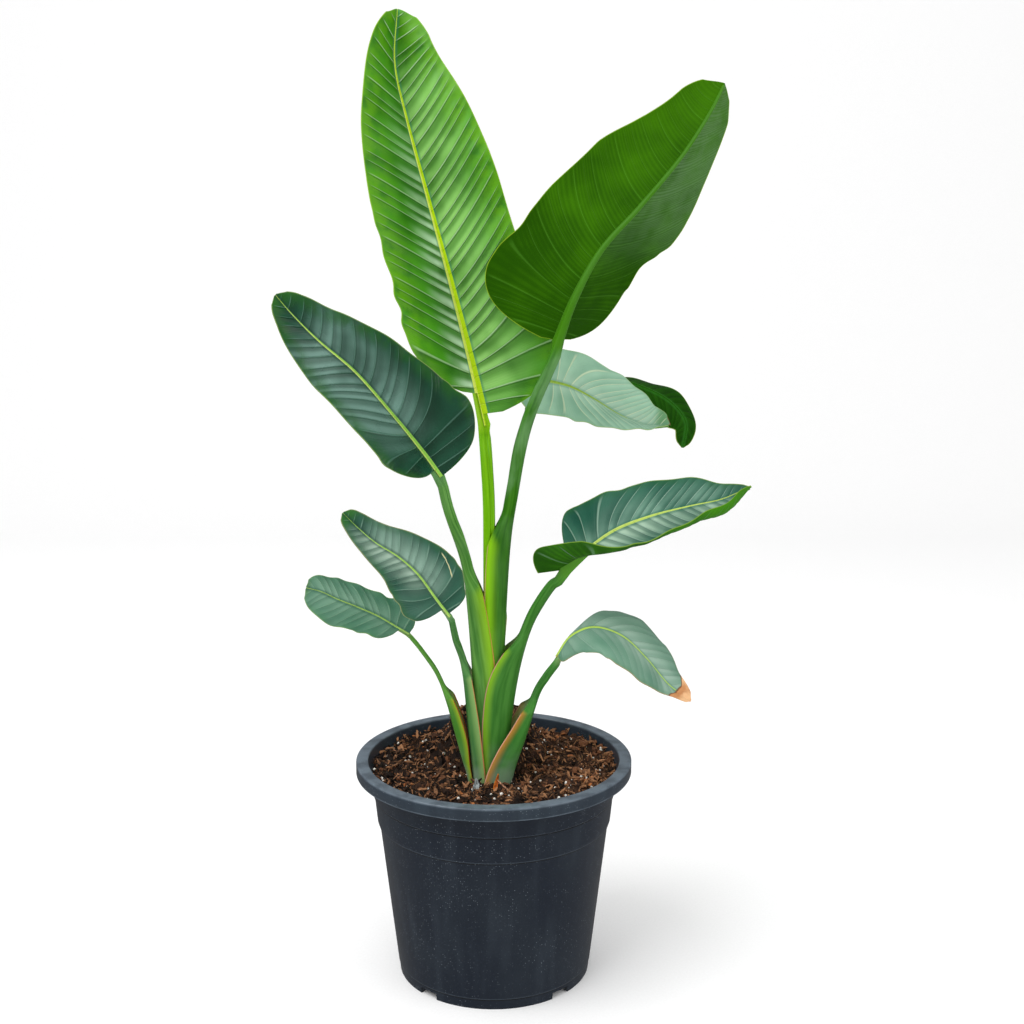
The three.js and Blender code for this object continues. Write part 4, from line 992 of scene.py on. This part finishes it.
def damp_peat(name, dark, light, size):
    """Peat, bark and coir crumbs with a grain of `size` mm: dark, rough and broken, and paler
    where they have dried."""
    material, add = new_material(name)
    tint = add("Attribute", attribute_name="tint", out="Fac")
    grain = noise_at(add, size, detail=6)
    side = add("SeparateXYZ", add("TexCoord", out="Object"), out="X")
    # The ground is paler in patches, and painted lighter toward the right, where it lies in shade.
    patch = add("MapRange", noise_at(add, 45.45, seed=6), 0.45, 0.62, **SMOOTH)
    dry = add("Math", add("MapRange", side, -0.05, 0.1, -0.1, 0.06, **SMOOTH),
              add("Math", patch, 0.12, **PRODUCT), **SUM)
    share = add("Math", add("Math", grain, 0.6, **PRODUCT), add("Math", tint, 0.7, **PRODUCT),
                dry, **SUM)
    colour = add("Mix", add("MapRange", share, 0.3, 0.95, **SMOOTH), linear(dark), light, **TONES)
    bump = add("Bump", named={"Height": grain, "Distance": 0.0012, "Strength": 0.9})
    shader = add("BsdfPrincipled", named={
        "Base Color": colour, "Roughness": 0.9, "Normal": bump, "IOR": 1.4})
    add("OutputMaterial", shader)
    return material


def dry_scale(name, dark, light, rough):
    """Dry shed tissue, papery, streaked darker and paler."""
    material, add = new_material(name)
    streak = noise_at(add, 1.429, detail=4, stretch=(1, 1, 0.2))
    colour = add("Mix", add("MapRange", streak, 0.35, 0.62, **SMOOTH), linear(dark),
                 linear(light), **TONES)
    bump = add("Bump", named={"Height": streak, "Distance": 0.0004, "Strength": 0.7})
    shader = add("BsdfPrincipled", named={
        "Base Color": colour, "Roughness": rough, "Normal": bump, "IOR": 1.45})
    add("OutputMaterial", shader)
    return material


def root_bark():
    """Corky skin of the underground stem: pale brown, ringed and matt."""
    material, add = new_material("root_bark")
    ring = noise_at(add, 8.333, detail=4, stretch=(0.4, 0.4, 1))
    colour = add("Mix", add("MapRange", ring, 0.3, 0.7, **SMOOTH), linear("#6a4c30"),
                 linear("#a98a60"), **TONES)
    bump = add("Bump", named={"Height": ring, "Distance": 0.001})
    shader = add("BsdfPrincipled", named={
        "Base Color": colour, "Roughness": 0.85, "Normal": bump})
    add("OutputMaterial", shader)
    return material


def painted_floor(colour):
    """Painted studio floor: plain, pale and matt, with the fine nap of a roller."""
    material, add = new_material("painted_floor")
    pale = add("Mix", noise_at(add, 2.5, detail=1), colour, linear("#fdfdfd"), **TONES)
    add("OutputMaterial", add("BsdfPrincipled", named={"Base Color": pale, "Roughness": 0.9}))
    return material


# Pieces.


def arc(centre, radius, start, end, steps=5):
    """Points of a rounded corner in a profile, angles in degrees."""
    angles = np.radians(np.linspace(start, end, steps))
    return [(centre[0] + radius * math.cos(a), centre[1] + radius * math.sin(a)) for a in angles]


def pot_profile(r):
    """Half section of the pot, from the middle of its underside round to the floor inside; r is
    the rounding of the rim's two top edges."""
    lip = POT_HEIGHT - RIM_CORNER
    band = POT_HEIGHT - RIM_BAND
    inner_wall = [(wall - WALL, z) for wall, z in OUTER_WALL[3:]]
    return [
        (0, 0.0), (PAD_RADIUS, 0), (PAD_RADIUS, FLOOR_UNDER),
        (FOOT_RADIUS - FOOT_RING, FLOOR_UNDER), (FOOT_RADIUS - FOOT_RING, 0), *OUTER_WALL,
        (RIM_INNER + WALL, lip - 1), (RIM_INNER + WALL + 1, lip),
        (RIM_RADIUS - RIM_CORNER, lip), (RIM_RADIUS - RIM_CORNER, band),
        *arc((RIM_RADIUS - 0.6, band + 0.6), 0.6, -90, 0, 3),
        *arc((RIM_RADIUS - r, POT_HEIGHT - r), r, 0, 90),
        *arc((RIM_INNER + r, POT_HEIGHT - r), r, 90, 180),
        *inner_wall[::-1], (OUTER_WALL[2][0] - WALL, FLOOR_TOP), (0, FLOOR_TOP),
    ]


def cut(piece, cutters):
    """Cuts blocks and drums out of a piece and removes them."""
    for cutter in cutters:
        modifier = piece.modifiers.new("cut", "BOOLEAN")
        modifier.operation = "DIFFERENCE"
        modifier.solver = "EXACT"
        modifier.object = cutter
    graph = bpy.context.evaluated_depsgraph_get()
    finished = bpy.data.meshes.new_from_object(piece.evaluated_get(graph))
    piece.modifiers.clear()
    piece.data = finished
    for cutter in cutters:
        bpy.data.objects.remove(cutter, do_unlink=True)


def cutting_block(outline, low, high, turn):
    """An upright block or drum, in mm, from its outline seen from above, turned about the pot's
    axis."""
    a, count = math.radians(turn), len(outline)
    placed = [(x * math.cos(a) - y * math.sin(a), x * math.sin(a) + y * math.cos(a), z)
              for z in (low, high) for x, y in outline]
    mesh = bpy.data.meshes.new("cutter")
    faces = [[j, (j + 1) % count, count + (j + 1) % count, count + j] for j in range(count)]
    mesh.from_pydata((np.array(placed) * MM).tolist(), [], [
        list(range(count))[::-1], list(range(count, 2 * count)), *faces])
    piece = bpy.data.objects.new("cutter", mesh)
    bpy.context.scene.collection.objects.link(piece)
    return piece


def soil_height(x, y):
    """Height of the plain ground of the solid model."""
    r = np.hypot(x, y) / RIM_INNER
    clods = np.sin(x / 7.3 + 1.3 * np.sin(y / 9.1)) * np.sin(y / 6.7 + 1.1 * np.sin(x / 8.3))
    swell = np.sin(x / 21 + 0.7) * np.cos(y / 17 - 0.4)
    from_mound = np.hypot(x - MOUND["x"], y - MOUND["y"]) / MOUND["radius"]
    mound = MOUND["height"] * np.exp(-(from_mound ** 4))
    return SOIL_LEVEL + SOIL_RISE * r ** 2 + SOIL_CLOD * (0.7 * clods + 0.6 * swell) + mound


def crumbled_height(x, y):
    """Height of the finished ground, with crumbs of several sizes."""
    base = float(soil_height(x, y))
    crumbs = noise.fractal(Vector((x / CRUMB_SIZE, y / CRUMB_SIZE, 0.3)), 0.8, 2.1, 5)
    lumps = abs(noise.noise(Vector((x / LUMP_SIZE, y / LUMP_SIZE, 7.1))))
    shreds = abs(noise.noise(Vector((x / SHRED_SIZE, y / SHRED_SIZE, 3.7))))
    return base + CRUMB_HEIGHT * crumbs - LUMP_HEIGHT * lumps - SHRED_HEIGHT * shreds


def lump(seed, corners, size, slim, flat, rough):
    """A small broken lump: a ball, squashed, turned and knocked about."""
    ball = corners * (1 + rough * np.array([seed.uniform(-1, 1) for _ in corners]))[:, None]
    ball = ball * np.array([1, seed.uniform(*slim), flat])
    turn = Euler((seed.gauss(0, 0.5), seed.gauss(0, 0.5), seed.uniform(0, 6.3))).to_matrix()
    return ball @ np.array(turn).T * size


def unit_ball(subdivisions):
    """Corners and faces of a round ball of 20 or 80 triangles."""
    shape = bmesh.new()
    bmesh.ops.create_icosphere(shape, subdivisions=subdivisions, radius=1)
    points = np.array([v.co for v in shape.verts])
    faces = [[v.index for v in f.verts] for f in shape.faces]
    shape.free()
    return points, faces


COARSE_BALL, FINE_BALL = unit_ball(1), unit_ball(2)


def free_ground(seed, stems, gap, reach=GROUND_REACH):
    """A random place on the ground that is clear of every stem."""
    while True:
        r, a = reach * math.sqrt(seed.random()), seed.uniform(0, 2 * math.pi)
        place = np.array([r * math.cos(a), r * math.sin(a)])
        if np.linalg.norm(stems - place, axis=1).min() > gap:
            return place


def stem_feet():
    """Points of all sheaths where they leave the ground, seen from above, in mm."""
    feet = []
    for leaf in LEAVES:
        ground = BACK_GROUND if leaf["shoot"] == BACK_SHOOT else FRONT_GROUND
        rings = np.array(stalk_rings(leaf)[0])
        heights = rings[..., 2].mean(axis=1)
        feet.append(rings[np.abs(heights - ground).argmin()][:, :2])
    return np.vstack(feet)


def scattered(name, material, count, seed, stems, ball, size, slim, flat, rough, sink, tints):
    """Lumps strewn over the ground as one object, each with its own tint. `size` and `slim` are
    the least and most radius in mm and breadth, `flat` the height and `rough` the brokenness as
    shares of the radius, `sink` how far each stands out of the ground."""
    corners, sides = ball
    points, faces, tint = [], [], []
    for _ in range(count):
        big = size[0] + (size[1] - size[0]) * seed.random() ** 2
        x, y = free_ground(seed, stems, 0.7 * big)
        shape = lump(seed, corners, big, slim, flat, rough)
        shape += [x, y, crumbled_height(x, y) + big * flat * sink]
        from_axis = np.linalg.norm(shape[:, :2], axis=1)
        shape[:, :2] *= np.minimum(1, (RIM_INNER - GAP) / from_axis)[:, None]
        start = len(points) * len(corners)
        points.append(shape)
        faces += [[start + k for k in face] for face in sides]
        tint += [tints[0] + (tints[1] - tints[0]) * seed.random() ** 1.3] * len(corners)
    return new_piece(name, np.vstack(points), faces, material, facts={"tint": tint},
                     sharp=50)


def strewn_fibres(name, material, count, seed, stems):
    """Coir fibres lying on the ground as one object of thin bent tubes."""
    points, faces, tint = [], [], []
    for _ in range(count):
        x, y = free_ground(seed, stems, 3, reach=FIBRE_START)
        heading, bend = seed.uniform(0, 6.3), seed.gauss(0, 0.22)
        step, thick = seed.uniform(1.2, 3.6), seed.uniform(0.18, 0.42)
        rise = seed.uniform(0.2, 2.2)
        start = len(points)
        for k in range(FIBRE_STEPS):
            lift = 0.4 + rise * math.sin(math.pi * k / (FIBRE_STEPS - 1))
            centre = np.array([x, y, crumbled_height(x, y) + lift])
            r = thick * (1 - 0.5 * k / FIBRE_STEPS)
            for n in range(FIBRE_SIDES):
                a = n * math.pi / 2
                out = np.array([-math.sin(heading) * math.cos(a),
                                math.cos(heading) * math.cos(a), math.sin(a)])
                points.append(centre + r * out)
            heading += bend + seed.gauss(0, 0.15)
            x, y = x + step * math.cos(heading), y + step * math.sin(heading)
            inward = min(1, FIBRE_REACH / math.hypot(x, y))
            x, y = x * inward, y * inward
        faces += [[start + k for k in face] for face in tube_faces(FIBRE_STEPS, FIBRE_SIDES)]
        tint += [seed.uniform(0.3, 1.0)] * (FIBRE_SIDES * FIBRE_STEPS)
    return new_piece(name, points, faces, material, facts={"tint": tint})


def dry_strip(line, half, side, cup, rows=16, columns=6, thick=0.2):
    """A thin dry strip along a line, with its half breadth at even steps, cupped across."""
    course, b = Course(line), np.linspace(0, 1, rows)
    tangent, right, up = axes(course.tangent(b), np.array(side, float))
    v = np.linspace(-1, 1, 2 * columns + 1)[None, :, None]
    wide = along(half, b)[:, None, None]
    middle = course.at(b)[:, None] + right[:, None] * wide * v + up[:, None] * cup * wide * v * v
    normal = sheet_normals(middle)
    points = np.concatenate([(middle + normal * thick).reshape(-1, 3),
                             (middle - normal * thick).reshape(-1, 3)])
    return points, plate_faces(rows, 2 * columns + 1)


# Settings.


def distance_setting(name, text, millimetres):
    """A length that a user can change, given in mm and kept in m."""
    return FloatProperty(name=name, description=text, default=millimetres * MM, min=0,
                         precision=5, unit="LENGTH")


def number_setting(name, text, default, least=1):
    """A count that a user can change."""
    return IntProperty(name=name, description=text, default=default, min=least)


def tone_setting(name, text, hex_colour):
    """A colour that a user can change, given as sRGB hex."""
    return FloatVectorProperty(name=name, description=text, default=linear(hex_colour), size=4,
                               min=0, max=1, subtype="COLOR")


class PotSettings(PropertyGroup):
    colour: tone_setting("Plastic", "Colour of the moulded plastic", "#0f1a28")
    round_edge: distance_setting("Rounded edge", "Rounding of the rim's two top edges", 1.6)
    around: number_setting("Segments", "Steps around the pot", 160, 24)


class SoilSettings(PropertyGroup):
    peat: tone_setting("Peat", "Driest tone of the peat", "#4c2f1c")
    crumb: tone_setting("Crumb", "Driest tone of the crumbs", "#754a2e")
    shred: tone_setting("Shred", "Driest tone of the shreds", "#a2724e")
    bark: tone_setting("Bark", "Palest tone of the bark chips", "#b06c3c")
    perlite: tone_setting("Perlite tone", "Palest tone of the perlite", "#f4f0e8")
    coir: tone_setting("Coir", "Palest tone of the coir fibres", "#96683f")
    crumbs: number_setting("Peat crumbs", "Crumbs strewn on the ground", 1000)
    shreds: number_setting("Peat shreds", "Long shreds of peat", 2400)
    chips: number_setting("Bark chips", "Flat paler chips of bark", 190)
    grains: number_setting("Perlite", "White grains of perlite", 330)
    fibres: number_setting("Coir fibres", "Thin fibres lying on the ground", 170)
    seed: IntProperty(name="Seed", description="Starts the strewing", default=11)


class LeafSettings(PropertyGroup):
    wax: tone_setting("Wax", "Bloom of wax on the stalks", "#6a9460")
    scar: tone_setting("Scar", "Healed scar in a blade", "#c4c092")
    dried: tone_setting("Dried tip", "Palest tone of a dried tip", "#e0b080")
    step: distance_setting("Row step", "Distance of the rows of points along a blade", 1.25)
    columns: number_setting("Columns", "Points across half of the widest blade", 26, 6)
    underside: FloatProperty(name="Underside relief", description="Share of the pleats below",
                             default=0.8, min=0, max=1, subtype="FACTOR")


class StudioSettings(PropertyGroup):
    lens: FloatProperty(name="Lens", description="Focal length of the camera", default=50.29,
                        min=1, unit="CAMERA")
    key: FloatProperty(name="Key light", description="Power of the large light at the upper left",
                       default=44, min=0, unit="POWER")
    fill: FloatProperty(name="Fill light", description="Power of the wide light on the right",
                        default=12, min=0, unit="POWER")
    sky: FloatProperty(name="Room light", description="Strength of the even white surroundings",
                       default=0.9, min=0)
    gleam: FloatProperty(name="Room gleam", description="Strength of the surroundings in gloss",
                         default=0.25, min=0)
    floor: tone_setting("Floor", "Colour of the painted floor", "#f4f4f4")


# Operators.


class PLANT_OT_pot(Operator):
    """Makes the moulded nursery pot with its rolled rim, collar, foot slots and drain holes"""

    bl_idname = "plant.pot"
    bl_label = "Pot"

    def execute(self, context):
        settings = context.scene.plant_pot
        points, faces = turned(pot_profile(settings.round_edge / MM), settings.around)
        material = moulded_polypropylene(settings.colour)
        pot = new_piece("nursery_pot", points, faces, material, sharp=30)
        slot = [(FOOT_RADIUS + x * SLOT_DEPTH, y * SLOT_WIDTH / 2)
                for x, y in ((-1, -1), (1, -1), (1, 1), (-1, 1))]
        hole = [(DRAIN_AT + DRAIN_RADIUS * math.cos(a), DRAIN_RADIUS * math.sin(a))
                for a in np.linspace(0, 2 * math.pi, 33)[:-1]]
        cut(pot, [cutting_block(outline, low, high, turn)
                  for outline, low, high in ((slot, -FLOOR_UNDER, FLOOR_UNDER),
                                             (hole, FLOOR_TOP - 10, FLOOR_TOP + 10))
                  for turn in SLOT_AZIMUTHS])
        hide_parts("pot")
        return {"FINISHED"}


class PLANT_OT_soil(Operator):
    """Fills the pot with crumbly peat, bark chips, perlite and coir fibres"""

    bl_idname = "plant.soil"
    bl_label = "Soil"

    def execute(self, context):
        settings = context.scene.plant_soil
        seed = random.Random(settings.seed)
        inside = [(OUTER_WALL[2][0] - WALL - GAP, FLOOR_TOP + GAP)]
        inside += [(r - WALL - GAP, z) for r, z in OUTER_WALL[3:]]
        top = inside[-1][0]
        ground = [(top * (1 - k / GROUND_RINGS), None) for k in range(GROUND_RINGS)]
        points, faces = turned([(0, FLOOR_TOP + GAP), *inside[:-1], *ground, (0, None)],
                               GROUND_AROUND, crumbled_height)
        tint = [0.3 + 0.3 * noise.noise(Vector(p) / 14) for p in points]
        material = damp_peat("damp_peat", "#120904", settings.peat, 3.846)
        soil = new_piece("peat", points, faces, material, facts={"tint": tint}, sharp=60)
        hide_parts("soil")
        stems = stem_feet()
        for name, finish, count, ball, *form in (
            ("peat_crumbs", ("peat_crumbs", "#140a05", settings.crumb, 2), settings.crumbs,
             FINE_BALL, (0.9, 4.2), (0.5, 0.95), 0.7, 0.45, 0.1, (0, 1.0)),
            ("peat_shreds", ("peat_shreds", "#180b05", settings.shred, 1.667), settings.shreds,
             COARSE_BALL, (1.8, 6.0), (0.14, 0.36), 0.24, 0.4, 1.6, (0, 1.0)),
            ("bark_chips", ("bark_chips", "#4a2714", settings.bark, 1.429), settings.chips,
             FINE_BALL, (1.2, 4.0), (0.4, 0.9), 0.28, 0.2, 0.9, (0.1, 1.0)),
            ("perlite_grains", ("expanded_perlite", "#b9b2a6", settings.perlite, 1.111),
             settings.grains, FINE_BALL, (0.35, 1.9), (0.6, 0.95), 0.8, 0.25, 1.1, (0.3, 1.0)),
        ):
            scattered(name, damp_peat(*finish), count, seed, stems, ball, *form)
        material = damp_peat("coir_fibre", "#3c2010", settings.coir, 1.111)
        strewn_fibres("coir_fibres", material, settings.fibres, seed, stems)
        return {"FINISHED"}


class PLANT_OT_scraps(Operator):
    """Lays a dry scale, a bit of shed skin and a twig at the foot of the front shoot"""

    bl_idname = "plant.scraps"
    bl_label = "Dry scraps"

    def execute(self, context):
        for name, dark, light, rough, cup, side, half, line in (
            ("dry_scale", "#9a400c", "#ee8a30", 0.5, 0.5, (1, 0.2, 0), (2.0, 1.9, 1.5, 0.5),
             [(1, -59, 211), (1.6, -57.5, 217), (3, -57, 223), (4.2, -58.5, 229)]),
            ("shed_skin", "#3c4240", "#aab2b2", 0.15, 0.7, (1, -0.3, 0), (3.6, 3.2, 2.6, 0.8),
             [(-18, -66, 211), (-17.2, -63, 216), (-16.6, -61, 220), (-17.6, -60.5, 225)]),
            ("twig", "#6a4028", "#c89674", 0.7, 1.2, (0.4, 1, 0), (0.7, 0.8, 0.7, 0.5),
             [(3.8, -57.6, 223), (8, -60, 219), (12, -61.6, 216), (16, -63.4, 212.5)]),
        ):
            points, faces = dry_strip(line, half, side, cup)
            new_piece(name, points, faces, dry_scale(name, dark, light, rough))
        return {"FINISHED"}


class PLANT_OT_crown(Operator):
    """Gives the buried stem and roots their corky bark"""

    bl_idname = "plant.crown"
    bl_label = "Crown"

    def execute(self, context):
        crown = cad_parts["crown"]
        crown.data.materials.clear()
        crown.data.materials.append(root_bark())
        return {"FINISHED"}


class PLANT_OT_stalks(Operator):
    """Makes each leaf's sheath, stalk and the keel under its blade"""

    bl_idname = "plant.stalks"
    bl_label = "Leaf stalks"

    def execute(self, context):
        for place, leaf in enumerate(LEAVES):
            name = leaf["name"]
            rings, margins, hollows = stalk_rings(leaf)
            keel = midrib_rings(leaf)
            around = len(rings[0])
            on_stalk, on_keel = np.zeros(len(rings) * around), np.ones(len(keel) * around)
            facts = {
                "margin": np.concatenate([*margins, FAR_OFF * on_keel]),
                "hollow": np.concatenate([*hollows, 0 * on_keel]),
                "keel": np.concatenate([on_stalk, on_keel]),
                **around_and_along(rings + keel),
            }
            material = waxy_stalk("waxed_stalk_" + name[-1], LOOKS[name], leaf["sheath"]["top"],
                                  place * 3.1, context.scene.plant_leaves.wax)
            piece = new_piece(name + "_petiole", np.vstack(rings + keel),
                              tube_faces(len(rings) + len(keel), around), material,
                              facts=facts, sharp=70)
            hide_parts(name + "_stalk")
        return {"FINISHED"}


class PLANT_OT_blades(Operator):
    """Makes each leaf's blade with its pleats, raised rib and waved margin"""

    bl_idname = "plant.blades"
    bl_label = "Leaf blades"

    def execute(self, context):
        settings = context.scene.plant_leaves
        for place, leaf in enumerate(LEAVES):
            name, look = leaf["name"], LOOKS[leaf["name"]]
            rows = int(Course(leaf["rib"]).length * MM / settings.step)
            columns = max(14, int(settings.columns * min(1, max(leaf["half"]) / 70)))
            b = lengthwise(rows)
            share = np.linspace(0, 1, columns + 1) ** 1.35
            middle, facts, veins = blade_sheet(leaf, look, b, share, 1)
            lower = blade_sheet(leaf, look, b, share, 0, settings.underside)[0]
            normal = sheet_normals(lower)
            points = np.concatenate([(middle + normal * BLADE_HALF).reshape(-1, 3),
                                     (lower - normal * BLADE_HALF).reshape(-1, 3)])
            facts = {key: np.concatenate([value.ravel()] * 2) for key, value in facts.items()}
            facts["upper"] = np.repeat([1.0, 0.0], middle[..., 0].size)
            material = waxy_leaf("waxed_lamina_" + name[-1], look, place * 1.7, settings.scar,
                                 settings.dried)
            piece = new_piece(name + "_lamina", points, plate_faces(*middle.shape[:2]), material,
                              uv=np.concatenate([veins, veins]), facts=facts)
            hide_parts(name + "_blade")
        return {"FINISHED"}


class PLANT_OT_studio(Operator):
    """Sets up the pale floor, the soft lights and the camera at the photograph's angle"""

    bl_idname = "plant.studio"
    bl_label = "Studio"

    def execute(self, context):
        settings = context.scene.plant_studio
        floor_mesh = bpy.data.meshes.new("floor")
        profile = [(-2.5, 0), (2.2, 0), *arc((2.2, 1.4), 1.4, -90, 0, 18), (3.6, 4.5)]
        points = [(x, y, z) for y, z in profile for x in (-5, 5)]
        floor_mesh.from_pydata(points, [], [[2 * k, 2 * k + 1, 2 * k + 3, 2 * k + 2]
                                            for k in range(len(profile) - 1)])
        floor_mesh.shade_smooth()
        floor_mesh.materials.append(painted_floor(settings.floor))
        floor = bpy.data.objects.new("floor", floor_mesh)
        floor.visible_glossy = False
        context.scene.collection.objects.link(floor)

        for name, power, size, place in (
            ("key_light", settings.key, (2.2, 1.8), (-1.2, -0.9, 2.4)),
            ("fill_light", settings.fill, (1.6, 2.0), (1.9, -1.0, 1.1)),
        ):
            light = bpy.data.lights.new(name, "AREA")
            light.shape, light.size, light.size_y, light.energy = "RECTANGLE", *size, power
            lamp = bpy.data.objects.new(name, light)
            lamp.location = place
            toward = Vector((0, 0, 0.5)) - lamp.location
            lamp.rotation_euler = toward.to_track_quat("-Z", "Y").to_euler()
            context.scene.collection.objects.link(lamp)

        world = bpy.data.worlds.new("white_room")
        world.use_nodes = True
        background = world.node_tree.nodes["Background"].inputs
        background["Color"].default_value = (1, 1, 1, 1)
        # Glossy surfaces meet a dimmer room than matt ones, so that the leaves keep their colour.
        add = partial(add_node, world.node_tree)
        dimmer = add("Math", add("LightPath", out="Is Glossy Ray"), settings.sky - settings.gleam,
                     **PRODUCT)
        strength = add("Math", settings.sky, dimmer, **LESS)
        world.node_tree.links.new(strength, background["Strength"])
        context.scene.world = world
        context.scene.view_settings.view_transform = "Standard"

        camera = bpy.data.cameras.new("camera")
        camera.lens, camera.sensor_width = settings.lens, SENSOR_WIDTH
        viewer = bpy.data.objects.new("camera", camera)
        viewer.location = CAMERA_PLACE
        viewer.rotation_euler = [math.radians(a) for a in (90 - CAMERA_DOWN, 0, CAMERA_ASIDE)]
        context.scene.collection.objects.link(viewer)
        context.scene.camera = viewer
        return {"FINISHED"}


OPERATORS = (PLANT_OT_pot, PLANT_OT_soil, PLANT_OT_scraps, PLANT_OT_crown, PLANT_OT_stalks,
             PLANT_OT_blades, PLANT_OT_studio)


class PLANT_PT_panel(Panel):
    """Lists the pieces of the plant"""

    bl_idname = "PLANT_PT_panel"
    bl_label = "Bird of paradise"
    bl_space_type = "VIEW_3D"
    bl_region_type = "UI"
    bl_category = "Plant"

    def draw(self, context):
        for operator in OPERATORS:
            self.layout.operator(operator.bl_idname)
        for key in SETTINGS:
            box = self.layout.box()
            group = getattr(context.scene, key)
            for name in group.bl_rna.properties.keys():
                if name not in ("rna_type", "name"):
                    box.prop(group, name)


SETTINGS = {"plant_pot": PotSettings, "plant_soil": SoilSettings, "plant_leaves": LeafSettings,
            "plant_studio": StudioSettings}
CLASSES = (*SETTINGS.values(), *OPERATORS, PLANT_PT_panel)


def register():
    for cls in CLASSES:
        bpy.utils.register_class(cls)
    for key, group in SETTINGS.items():
        setattr(bpy.types.Scene, key, PointerProperty(type=group))


def unregister():
    for key in SETTINGS:
        delattr(bpy.types.Scene, key)
    for cls in reversed(CLASSES):
        bpy.utils.unregister_class(cls)


def main():
    register()
    bpy.ops.plant.pot()
    bpy.ops.plant.soil()
    bpy.ops.plant.scraps()
    bpy.ops.plant.crown()
    bpy.ops.plant.stalks()
    bpy.ops.plant.blades()
    bpy.ops.plant.studio()


if __name__ == "__main__":
    main()
